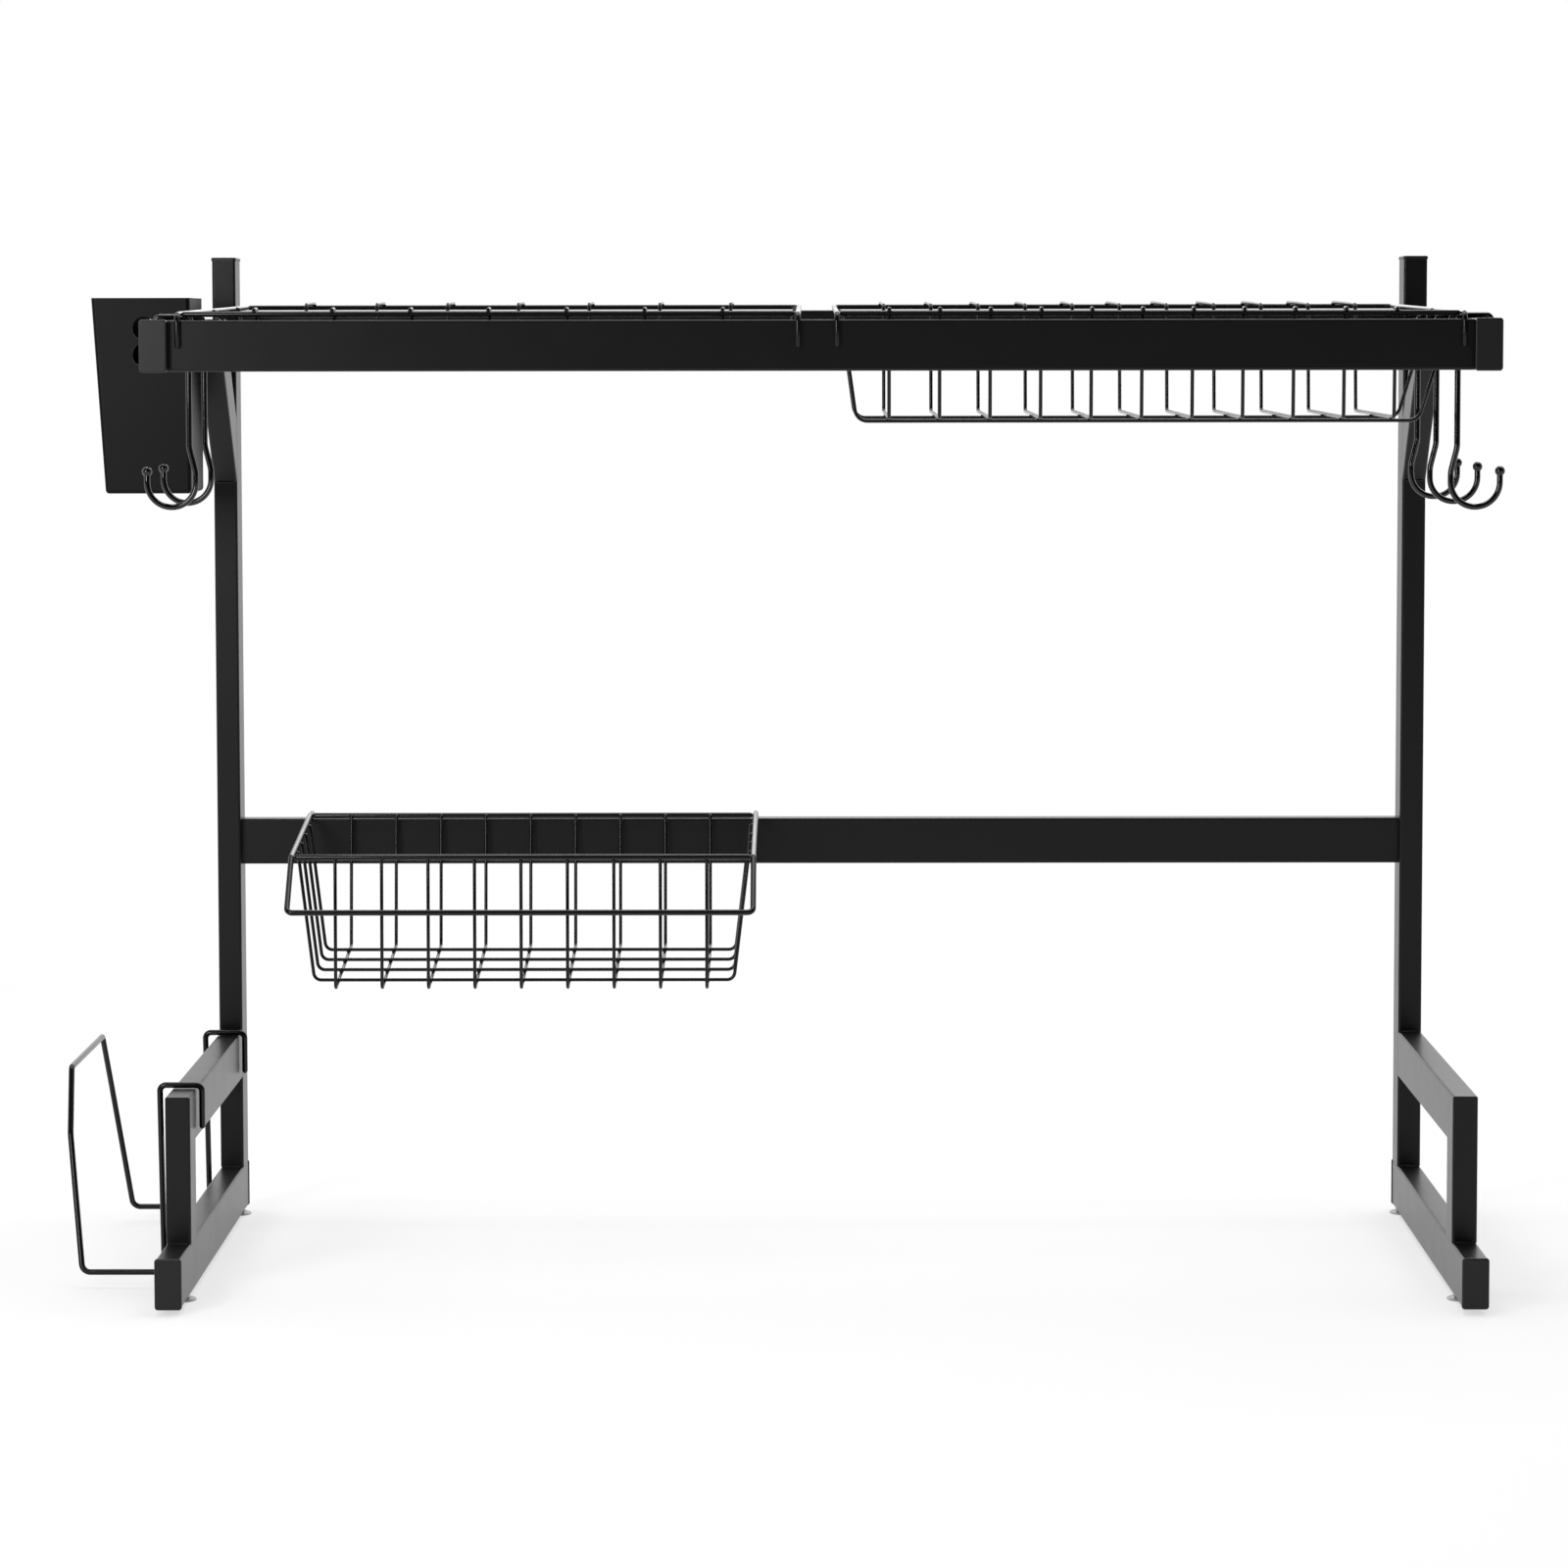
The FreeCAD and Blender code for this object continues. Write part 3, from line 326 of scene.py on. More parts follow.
# ---------------------------------------------------------------- geometry trees
class Tree:
    """A Geometry Nodes tree with named inputs, and how it is run on a mesh."""

    name: ClassVar[str]
    inputs: ClassVar[dict[str, str]]

    def __init__(self) -> None:
        """Make the tree once; later uses share it."""
        found = bpy.data.node_groups.get(self.name)
        self.tree = found or bpy.data.node_groups.new(self.name, "GeometryNodeTree")
        if found:
            return
        faces = self.tree.interface
        faces.new_socket("Geometry", in_out="INPUT", socket_type="NodeSocketGeometry")
        for label, kind in self.inputs.items():
            faces.new_socket(label, in_out="INPUT", socket_type=kind)
        faces.new_socket("Geometry", in_out="OUTPUT", socket_type="NodeSocketGeometry")
        sketch = Sketch(self.tree)
        entry = sketch.node("NodeGroupInput").outputs
        shape = self.draw(sketch, entry)
        real = sketch.node("GeometryNodeRealizeInstances", {0: shape})
        painted = sketch.node("GeometryNodeSetMaterial", {"Geometry": real.outputs[0]})
        self.tree.links.new(entry["Material"], painted.inputs["Material"])
        sketch.node("NodeGroupOutput", {0: painted.outputs[0]})

    def draw(self, sketch: Sketch, entry: Any) -> bpy.types.NodeSocket:
        """Draw the tree's own nodes.

        Args:
            sketch: the tree being drawn.
            entry: the group input's sockets.

        Returns:
            The geometry before it is realized and painted.
        """
        raise NotImplementedError

    def run(self, mesh: bpy.types.Mesh, name: str, **values: Any) -> bpy.types.Object:
        """Run the tree on a mesh and keep the result as a plain mesh.

        Args:
            mesh: what the tree reads.
            name: name of the new piece.
            values: the tree's inputs, with spaces written as underscores.

        Returns:
            An object with no modifier, at the origin.
        """
        piece = bpy.data.objects.new(name, mesh)
        modifier = piece.modifiers.new(self.name, "NODES")
        modifier.node_group = self.tree
        for item in self.tree.interface.items_tree:
            key = item.name.replace(" ", "_").lower()
            if item.in_out == "INPUT" and key in values:
                modifier[item.identifier] = values[key]
        bpy.context.scene.collection.objects.link(piece)
        seen = piece.evaluated_get(bpy.context.evaluated_depsgraph_get())
        result = bpy.data.meshes.new_from_object(seen)
        result.name = name
        piece.modifiers.clear()
        piece.data = result
        bpy.data.meshes.remove(mesh)
        return piece


class SweptWire(Tree):
    """Round wire along each line of a mesh, repeated in equal steps."""

    name = "swept_wire"
    inputs = {"Radius": "NodeSocketFloat", "Sides": "NodeSocketInt", "Count": "NodeSocketInt",
              "Step": "NodeSocketVector", "Ripple": "NodeSocketFloat",
              "Ripple Pitch": "NodeSocketFloat", "Material": "NodeSocketMaterial"}

    def draw(self, sketch: Sketch, entry: Any) -> bpy.types.NodeSocket:
        """Draw the tree's own nodes.

        Args:
            sketch: the tree being drawn.
            entry: the group input's sockets.

        Returns:
            One swept wire at each step.
        """
        line = sketch.node("GeometryNodeMeshToCurve", {0: entry["Geometry"]})
        along = sketch.node("GeometryNodeSplineParameter").outputs["Length"]
        share = sketch.node("ShaderNodeMath", {0: along, 1: entry["Ripple Pitch"]},
                            operation="DIVIDE")
        turns = sketch.node("ShaderNodeMath", {0: share.outputs[0], 1: math.tau},
                            operation="MULTIPLY")
        swell = sketch.node("ShaderNodeMath", {0: turns.outputs[0]}, operation="SINE")
        ripple = sketch.node("ShaderNodeMath", {0: swell.outputs[0], 1: entry["Ripple"], 2: 1.0},
                             operation="MULTIPLY_ADD")
        ends = sketch.node("GeometryNodeInputNamedAttribute", {"Name": "thickness"},
                           data_type="FLOAT")
        scale = sketch.node("ShaderNodeMath", {0: ripple.outputs[0], 1: ends.outputs[0]},
                            operation="MULTIPLY")
        round_profile = sketch.node("GeometryNodeCurvePrimitiveCircle", {
            "Resolution": entry["Sides"], "Radius": entry["Radius"]})
        swept = sketch.node("GeometryNodeCurveToMesh", {
            "Curve": line.outputs[0], "Profile Curve": round_profile.outputs[0],
            "Scale": scale.outputs[0], "Fill Caps": True})
        smooth = sketch.node("GeometryNodeSetShadeSmooth", {"Geometry": swept.outputs[0]})
        places = sketch.node("GeometryNodeMeshLine", {
            "Count": entry["Count"], "Offset": entry["Step"]})
        return sketch.node("GeometryNodeInstanceOnPoints", {
            "Points": places.outputs[0], "Instance": smooth.outputs[0]}).outputs[0]


class WeldDots(Tree):
    """A small rounded lump of coated weld at each point of a mesh."""

    name = "weld_dots"
    inputs = {"Size": "NodeSocketVector", "Spread": "NodeSocketFloat", "Seed": "NodeSocketInt",
              "Material": "NodeSocketMaterial"}

    def draw(self, sketch: Sketch, entry: Any) -> bpy.types.NodeSocket:
        """Draw the tree's own nodes.

        Args:
            sketch: the tree being drawn.
            entry: the group input's sockets.

        Returns:
            One lump at each point.
        """
        lump = sketch.node("GeometryNodeMeshUVSphere", {"Segments": 8, "Rings": 5, "Radius": 1.0})
        smooth = sketch.node("GeometryNodeSetShadeSmooth", {"Geometry": lump.outputs[0]})
        least = sketch.node("ShaderNodeMath", {0: 1.0, 1: entry["Spread"]}, operation="SUBTRACT")
        most = sketch.node("ShaderNodeMath", {0: 1.0, 1: entry["Spread"]}, operation="ADD")
        factor = sketch.node("FunctionNodeRandomValue", {
            2: least.outputs[0], 3: most.outputs[0], "Seed": entry["Seed"]}, data_type="FLOAT")
        size = sketch.node("ShaderNodeVectorMath", {0: entry["Size"]}, operation="SCALE")
        self.tree.links.new(factor.outputs[1], size.inputs["Scale"])
        return sketch.node("GeometryNodeInstanceOnPoints", {
            "Points": entry["Geometry"], "Instance": smooth.outputs[0],
            "Scale": size.outputs[0]}).outputs[0]


class ScrewSet(Tree):
    """The same screw at each point of a mesh, turned by the point's own angle about z."""

    name = "screw_set"
    inputs = {"Screw": "NodeSocketObject", "Material": "NodeSocketMaterial"}

    def draw(self, sketch: Sketch, entry: Any) -> bpy.types.NodeSocket:
        """Draw the tree's own nodes.

        Args:
            sketch: the tree being drawn.
            entry: the group input's sockets.

        Returns:
            One screw at each point.
        """
        screw = sketch.node("GeometryNodeObjectInfo", {"Object": entry["Screw"]})
        facing = sketch.node("GeometryNodeInputNamedAttribute", {"Name": "facing"},
                             data_type="FLOAT")
        turn = sketch.node("ShaderNodeCombineXYZ", {"Z": facing.outputs[0]})
        return sketch.node("GeometryNodeInstanceOnPoints", {
            "Points": entry["Geometry"], "Instance": screw.outputs["Geometry"],
            "Rotation": turn.outputs[0]}).outputs[0]


# ---------------------------------------------------------------- the maker
class Maker:
    """Turns routes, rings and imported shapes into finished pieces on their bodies."""

    def __init__(self, datum: Datum) -> None:
        """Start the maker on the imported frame.

        Args:
            datum: the rack's own axes.
        """
        self.datum = datum
        self.body_of = {node: body for body, nodes in frame["record"]["behaviour"]["bodies"].items()
                        for node in nodes}

    def hand_over(self, piece: bpy.types.Object, body: str, slot: Slot, *nodes: str) -> bpy.types.Object:
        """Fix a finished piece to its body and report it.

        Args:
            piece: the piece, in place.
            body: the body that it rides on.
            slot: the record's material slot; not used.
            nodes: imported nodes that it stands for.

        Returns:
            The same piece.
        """
        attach(piece, body)
        if nodes:
            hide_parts(*nodes)
        LOG.info("%s: %d faces on %s", piece.name, len(piece.data.polygons), body)
        return piece

    def line_mesh(self, routes: Sequence[Route], radius: float) -> bpy.types.Mesh:
        """Mesh of plain lines with rounded ends, in metres.

        Args:
            routes: the lines, in the rack's millimetres.
            radius: the wire's radius, which the ends are rounded by.

        Returns:
            A mesh with a thickness for each point.
        """
        points: list[Vector] = []
        thickness: list[float] = []
        edges: list[tuple[int, int]] = []
        for route in routes:
            first = len(points)
            for at_end, end, inward in ((False, route[0], route[1]), (True, route[-1], route[-2])):
                towards = (inward - end).normalized()
                rings = [(1 - math.cos(a), math.sin(a)) for a in (0.3, 0.7, 1.1, math.pi / 2)]
                rings[0] = (0.0, rings[0][1])
                nose = [(self.datum.place(end + towards * radius * way), share) for way, share in rings]
                if at_end:
                    points += [self.datum.place(point) for point in route[1:-1]]
                    thickness += [1.0] * (len(route) - 2)
                    nose.reverse()
                points += [point for point, _ in nose]
                thickness += [share for _, share in nose]
            edges += [(index, index + 1) for index in range(first, len(points) - 1)]
        mesh = bpy.data.meshes.new("lines")
        mesh.from_pydata(points, edges, [])
        layer = mesh.attributes.new("thickness", "FLOAT", "POINT")
        layer.data.foreach_set("value", thickness)
        return mesh

    def wires(self, node: str, routes: Sequence[Route], diameter: float, finish: Finish = WIRE_COAT,
              slot: Slot = Slot.WIRE, count: int = 1, step: float = 0.0) -> bpy.types.Object:
        """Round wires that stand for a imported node.

        Args:
            node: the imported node.
            routes: the wires' lines.
            diameter: the wire's diameter.
            finish: the wire's surface.
            slot: the record's material slot.
            count: how many times the lines repeat along x.
            step: distance from one repeat to the next.

        Returns:
            The finished piece.
        """
        piece = SweptWire().run(
            self.line_mesh(routes, diameter / 2), node + "_coated", radius=diameter / 2 * MM,
            sides=16, count=count, step=(step * MM, 0.0, 0.0), ripple=0.0, ripple_pitch=1.0,
            material=finish.material())
        return self.hand_over(piece, self.body_of[node], slot, node)

    def dots(self, name: str, body: str, places: Sequence[Vector], size: tuple[float, float, float]) -> None:
        """Weld lumps at the crossings of wires.

        Args:
            name: name of the piece.
            body: the body that it rides on.
            places: middle of each lump.
            size: half sizes of a lump along the three axes.
        """
        mesh = bpy.data.meshes.new(name)
        mesh.from_pydata([self.datum.place(place) for place in places], [], [])
        piece = WeldDots().run(mesh, name, size=[length * MM for length in size], spread=0.08,
                               seed=RANDOM_SEED, material=WELD_COAT.material())
        self.hand_over(piece, body, Slot.WIRE)

    def seams(self, name: str, body: str, routes: Sequence[Route], radius: float, pitch: float) -> None:
        """Rippled weld seams in the corners between tubes.

        Args:
            name: name of the piece.
            body: the body that it rides on.
            routes: the seams' lines.
            radius: how thick a seam is.
            pitch: length of one ripple.
        """
        piece = SweptWire().run(
            self.line_mesh(routes, radius), name, radius=radius * MM, sides=10, count=1,
            step=(0.0, 0.0, 0.0), ripple=0.12, ripple_pitch=pitch * MM, material=WELD_COAT.material())
        self.hand_over(piece, body, Slot.TUBE)

    def coated(self, node: str, finish: Finish, slot: Slot, crease: float = 28.0) -> bpy.types.Object:
        """A smooth-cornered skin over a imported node.

        Args:
            node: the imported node.
            finish: the skin's surface.
            slot: the record's material slot.
            crease: angle in degrees past which an edge stays sharp.

        Returns:
            The finished piece.
        """
        shape = bmesh.new()
        shape.from_mesh(frame["nodes"][node].data)
        bmesh.ops.remove_doubles(shape, verts=shape.verts, dist=0.001 * MM)
        for face in shape.faces:
            face.smooth = True
            face.material_index = 0
        for edge in shape.edges:
            edge.smooth = edge.calc_face_angle(math.pi) < math.radians(crease)
        mesh = bpy.data.meshes.new(node + "_skin")
        shape.to_mesh(mesh)
        shape.free()
        for layer in ("custom_normal", "UVMap"):
            found = mesh.attributes.get(layer)
            if found:
                mesh.attributes.remove(found)
        mesh.materials.clear()
        mesh.materials.append(finish.material())
        piece = bpy.data.objects.new(node + "_skin", mesh)
        bpy.context.scene.collection.objects.link(piece)
        even = piece.modifiers.new("even_corners", "WEIGHTED_NORMAL")
        even.keep_sharp = True
        return self.hand_over(piece, self.body_of[node], slot, node)

    def turned(self, name: str, rings: Sequence[Route], finish: Finish) -> bpy.types.Object:
        """Closed shape through a stack of rings with equal numbers of points.

        Args:
            name: name of the object.
            rings: the rings, from one end to the other, anticlockwise seen from the last.
            finish: its surface.

        Returns:
            The object, which still has to be handed over.
        """
        shape = bmesh.new()
        loops = [[shape.verts.new(point) for point in ring] for ring in rings]
        for low, high in zip(loops, loops[1:]):
            for index, _ in enumerate(low):
                after = (index + 1) % len(low)
                shape.faces.new((low[index], low[after], high[after], high[index]))
        shape.faces.new(reversed(loops[0]))
        shape.faces.new(loops[-1])
        for face in shape.faces:
            face.smooth = len(face.verts) == 4
        for edge in shape.edges:
            edge.smooth = edge.calc_face_angle(math.pi) < math.radians(40)
        mesh = bpy.data.meshes.new(name)
        shape.to_mesh(mesh)
        shape.free()
        mesh.materials.append(finish.material())
        piece = bpy.data.objects.new(name, mesh)
        bpy.context.scene.collection.objects.link(piece)
        return piece


# ---------------------------------------------------------------- tube frame
@dataclass
class TubeFrame:
    """Two welded side frames, the three rails between them, their caps and their screws."""

    maker: Maker
    seam_radius: float = 0.75
    seam_pitch: float = 1.1
    seam_inset: float = 1.4
    head_radius: float = 4.55
    head_edge: float = 0.15
    shank_radius: float = 2.45
    shank_length: float = 24.0
    socket_flats: float = 3.0
    socket_depth: float = 1.8
    socket_chamfer: float = 0.35
    socket_edge: float = 0.25
    tip_chamfer: float = 0.8
    floor_rise: float = 0.2
    screw_spacing: float = 12.0
    ring_points: int = 24
    tubes: tuple[str, ...] = ("foot_tube", "rear_post", "low_upright", "low_bar", "arm_brace", "top_arm")
    caps: tuple[str, ...] = ("foot_front_cap", "foot_rear_cap", "post_top_cap", "arm_front_cap")
    rails: tuple[str, ...] = ("front_rail", "rear_rail", "crossbar")

    def build(self) -> None:
        """Make every piece of the frame."""
        for side in Side:
            for tube in self.tubes:
                self.maker.coated(side.prefix + tube, POWDER_COAT, Slot.TUBE)
            for cap in self.caps:
                self.maker.coated(side.prefix + cap, CAP_PLASTIC, Slot.CAP)
            self.maker.seams(side.prefix + "weld_seams", "frame", self.seam_routes(side),
                             self.seam_radius, self.seam_pitch)
        for rail in self.rails:
            self.maker.coated(rail, POWDER_COAT, Slot.TUBE)
        self.maker.coated("rail_thread_blocks", NYLON, Slot.BLOCK)
        self.build_screws()

    def seam_corners(self) -> list[tuple[float, float]]:
        """Side view of the corners that are welded.

        Returns:
            The (y, z) of each corner.
        """
        datum = self.maker.datum
        arm_bottom = datum.arm_top - datum.tube_deep
        slant = datum.tube_deep * math.sqrt(2)
        rise = arm_bottom - datum.brace_foot
        window_back = datum.window_front + datum.tube_deep
        return [(0, datum.arm_top), (0, arm_bottom), (0, datum.brace_foot),
                (0, datum.brace_foot + slant), (-rise, arm_bottom), (slant - rise, arm_bottom),
                (0, datum.window_top), (0, datum.window_top - datum.tube_deep),
                (window_back, datum.window_top - datum.tube_deep), (datum.window_front, datum.foot_top),
                (window_back, datum.foot_top), (0, datum.foot_top)]

    def seam_routes(self, side: Side) -> list[Route]:
        """Lines of one side frame's weld seams.

        Args:
            side: which side frame.

        Returns:
            One finely divided line for each seam.
        """
        datum = self.maker.datum
        near = datum.inner_x + self.seam_inset
        far = datum.outer_x - self.seam_inset
        steps = round((far - near) / self.seam_pitch * 5)
        xs = [side.value * (near + (far - near) * step / steps) for step in range(steps + 1)]
        return [[Vector((x, y, z)) for x in xs] for y, z in self.seam_corners()]

    def ring(self, radius: float, x: float, flats: bool = False) -> Route:
        """One ring about the x axis, in metres.

        Args:
            radius: the ring's radius, or half its width over the flats.
            x: its place on the axis.
            flats: whether it is a hexagon.

        Returns:
            The ring's points.
        """
        points = []
        for index in range(self.ring_points):
            turn = math.tau * index / self.ring_points
            off_flat = (turn + math.pi / 6) % (math.pi / 3) - math.pi / 6
            reach = radius / math.cos(off_flat) if flats else radius
            points.append(Vector((x, reach * math.cos(turn), reach * math.sin(turn))) * MM)
        return points

    def screw(self) -> bpy.types.Object:
        """One countersunk screw along +x, with the face of its head at x = 0.

        Returns:
            The screw's object, which the screw set repeats.
        """
        half = self.socket_flats / 2
        cone = self.head_radius - self.shank_radius
        rings = [self.ring(self.shank_radius * 0.8, -self.shank_length),
                 self.ring(self.shank_radius, self.tip_chamfer - self.shank_length),
                 self.ring(self.shank_radius, -cone - self.head_edge),
                 self.ring(self.head_radius, -self.head_edge),
                 self.ring(self.head_radius - self.head_edge, 0.0),
                 self.ring(half + self.socket_chamfer, 0.0),
                 self.ring(half, -self.socket_edge, True),
                 self.ring(half, self.floor_rise - self.socket_depth, True),
                 self.ring(half * 0.5, -self.socket_depth)]
        return self.maker.turned("rail_screw_pattern", rings, BLACK_STEEL)

    def screw_places(self) -> list[tuple[float, float]]:
        """Side view of the screws' places.

        Returns:
            The (y, z) of each screw on one side.
        """
        datum = self.maker.datum
        bar_middle = (datum.bar_front + datum.bar_back) / 2
        tops = [(datum.rail_middle, datum.arm_top), (bar_middle, datum.rear_rail_top),
                (bar_middle, datum.crossbar_top)]
        return [(y, z) for y, top in tops
                for z in spread(top - datum.tube_deep / 2, 2, self.screw_spacing)]

    def build_screws(self) -> None:
        """Make the twelve screws that hold the rails."""
        datum = self.maker.datum
        points, facing = [], []
        for side in Side:
            for y, z in self.screw_places():
                points.append(datum.place(Vector((side.value * datum.outer_x, y, z))))
                facing.append(0.0 if side is Side.RIGHT else math.pi)
        mesh = bpy.data.meshes.new("screw_points")
        mesh.from_pydata(points, [], [])
        mesh.attributes.new("facing", "FLOAT", "POINT").data.foreach_set("value", facing)
        pattern = self.screw()
        piece = ScrewSet().run(mesh, "rail_screws_blackened", screw=pattern,
                               material=BLACK_STEEL.material())
        bpy.data.objects.remove(pattern)
        self.maker.hand_over(piece, "frame", Slot.SCREW, "rail_screws")


@dataclass
class SuctionFeet:
    """Four soft discs with studs that snap into the foot tubes."""

    maker: Maker
    ring_points: int = 40
    profile: tuple[tuple[float, float], ...] = (
        (0.3, 1.45), (1.6, 1.42), (3.1, 1.25), (4.8, 0.85), (6.4, 0.35), (7.6, 0.0), (8.7, 0.0),
        (9.0, 0.25), (8.95, 0.6), (8.5, 0.95), (7.2, 1.35), (5.8, 1.85), (5.0, 2.45), (4.6, 3.0),
        (2.6, 3.0), (2.6, 4.0), (3.3, 4.25), (3.1, 5.2), (2.2, 6.2), (0.4, 6.35))

    def build(self) -> None:
        """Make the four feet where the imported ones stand."""
        for side in Side:
            for end in ("front", "rear"):
                self.foot(f"{side.prefix}{end}_suction_foot")

    def foot(self, node: str) -> None:
        """Make one foot.

        Args:
            node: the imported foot.
        """
        low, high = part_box(node)
        middle = Vector(((low.x + high.x) / 2, (low.y + high.y) / 2, low.z))
        turns = [math.tau * index / self.ring_points for index in range(self.ring_points)]
        rings = [[middle + Vector((radius * math.cos(turn), radius * math.sin(turn), z)) * MM
                  for turn in turns] for radius, z in self.profile]
        piece = self.maker.turned(node + "_moulded", rings, SOFT_VINYL)
        self.maker.hand_over(piece, "frame", Slot.RUBBER, node)


# ---------------------------------------------------------------- wire shelves
@dataclass
class WireShelf:
    """A frame wire that hooks over the front rail and lies on the rear one."""

    maker: Maker
    name: str
    left: float
    right: float
    frame_wire: float = 2.6
    grid_wire: float = 1.8
    fit_gap: float = 0.3
    slope_room: float = 0.15
    front_rise: float = 1.3
    hook_drop: float = 13.2
    hook_bend: float = 4.2
    corner_bend: float = 4.5
    rear_inset: float = 6.0
    grid_bend: float = 3.0
    overhang: float = 1.2
    weld_bite: float = 0.03
    weld_rise: float = 0.6
    weld_below_end: float = 0.3

    def height(self, y: float) -> float:
        """Height of the frame wire on its slope between the two rails."""
        datum = self.maker.datum
        front = datum.arm_top + self.fit_gap + self.front_rise + self.frame_wire / 2
        rear = datum.rear_rail_top + self.fit_gap + self.slope_room + self.frame_wire / 2
        return front + (rear - front) * (y - datum.rail_middle) / (self.rear_y - datum.rail_middle)

    @property
    def rear_y(self) -> float:
        """y of the frame wire on the rear rail."""
        return self.maker.datum.bar_front + self.rear_inset

    def on_frame(self, y: float) -> float:
        """Height of a thin wire that lies on the frame wires."""
        return self.height(y) + (self.frame_wire + self.grid_wire) / 2 - self.weld_bite

    def frame_route(self) -> Route:
        """Line of the bent frame wire: hook, side, rear, side, hook."""
        datum = self.maker.datum
        hook_y = datum.rail_front - self.fit_gap - self.frame_wire / 2
        side = [(hook_y, datum.arm_top - self.hook_drop), (hook_y, self.height(hook_y)),
                (self.rear_y, self.height(self.rear_y))]
        corners = in_side_view(self.left, side) + in_side_view(self.right, side[::-1])
        return bent_route(corners, [self.hook_bend, self.corner_bend, self.corner_bend, self.hook_bend])

    def front_route(self) -> Route:
        """Line of the straight wire along the front rail."""
        y = self.maker.datum.rail_middle
        inset = self.frame_wire / 2 - self.weld_bite
        return in_front_view(y, [(self.left + inset, self.height(y)), (self.right - inset, self.height(y))])

    def cross_route(self, x: float) -> Route:
        """Line of one cross wire, from the front wire to the rear one."""
        raise NotImplementedError

    def long_route(self, y: float) -> Route:
        """Line of one long wire, from side to side."""
        raise NotImplementedError

    def long_wires(self) -> Sequence[float]:
        """y of each long wire."""
        raise NotImplementedError

    def cross_places(self) -> tuple[float, int, float]:
        """Middle, number and pitch of the cross wires."""
        raise NotImplementedError

    def floor(self, y: float) -> float:
        """Height of the cross wires over the long ones."""
        raise NotImplementedError

    def weld_places(self) -> list[Vector]:
        """Every place where two wires of the shelf are welded.

        Returns:
            The middle of each weld.
        """
        datum = self.maker.datum
        places = []
        for x in spread(*self.cross_places()):
            for y in (datum.rail_middle, self.rear_y):
                places.append(Vector((x, y, self.height(y) + self.frame_wire / 2)))
            for y in self.long_wires():
                places.append(Vector((x, y, self.floor(y) - self.grid_wire / 2)))
        inset = self.frame_wire / 2
        for x in (self.left + inset, self.right - inset):
            places.append(Vector((x, datum.rail_middle, self.height(datum.rail_middle))))
            places += [Vector((x, y, self.height(y) + self.weld_rise - self.weld_below_end))
                       for y in self.long_wires()]
        return places

    def build(self) -> None:
        """Make the shelf's wires and its welds."""
        middle, count, pitch = self.cross_places()
        first = spread(middle, count, pitch)[0]
        self.maker.wires(self.name + "_frame_wire", [self.frame_route()], self.frame_wire)
        self.maker.wires(self.name + "_front_wire", [self.front_route()], self.frame_wire)
        self.maker.wires(self.name + "_cross_wires", [self.cross_route(first)], self.grid_wire,
                         count=count, step=pitch)
        self.maker.wires(self.name + "_long_wires", [self.long_route(y) for y in self.long_wires()],
                         self.grid_wire)
        self.maker.dots(self.name + "_welds", self.name, self.weld_places(), (1.25, 1.25, 0.75))


@dataclass
class PlateRack(WireShelf):
    """Shelf whose cross wires dip to hold plates on edge."""

    wires: int = 7
    pitch: float = 37.4
    dip: float = 17.0
    lean: float = 2.0
    front_gap: float = 7.0
    back_y: float = -36.0
    runs: tuple[float, ...] = (-282.0, -168.0, -54.0)
    run_inset: float = 3.0
    run_bend: float = 4.0

    def cross_places(self) -> tuple[float, int, float]:
        """Middle, number and pitch of the cross wires."""
        return (self.left + self.right) / 2, self.wires, self.pitch

    def long_wires(self) -> Sequence[float]:
        """y of each long wire."""
        return self.runs

    def floor(self, y: float) -> float:
        """Height of the cross wires in the tray."""
        return self.height(y) - self.dip

    def cross_route(self, x: float) -> Route:
        """Line of one cross wire, from the front wire to the rear one."""
        datum = self.maker.datum
        front = datum.rail_middle - self.overhang
        rear = self.rear_y + self.overhang
        wall = datum.rail_back + self.front_gap
        path = [(front, self.on_frame(front)), (wall, self.on_frame(wall)),
                (wall + self.lean, self.floor(wall)), (self.back_y - self.lean, self.floor(self.back_y)),
                (self.back_y, self.on_frame(self.back_y)), (rear, self.on_frame(rear))]
        return bent_route(in_side_view(x, path), self.grid_bend)

    def long_route(self, y: float) -> Route:
        """Line of one long wire under the tray, bent up to the side wires."""
        under = self.floor(y) - self.grid_wire + self.weld_bite
        inset = (self.frame_wire + self.grid_wire) / 2 - self.weld_bite
        end = self.height(y) + self.weld_rise
        path = [(self.left + inset, end), (self.left + inset + self.run_inset, under),
                (self.right - inset - self.run_inset, under), (self.right - inset, end)]
        return bent_route(in_front_view(y, path), self.run_bend)


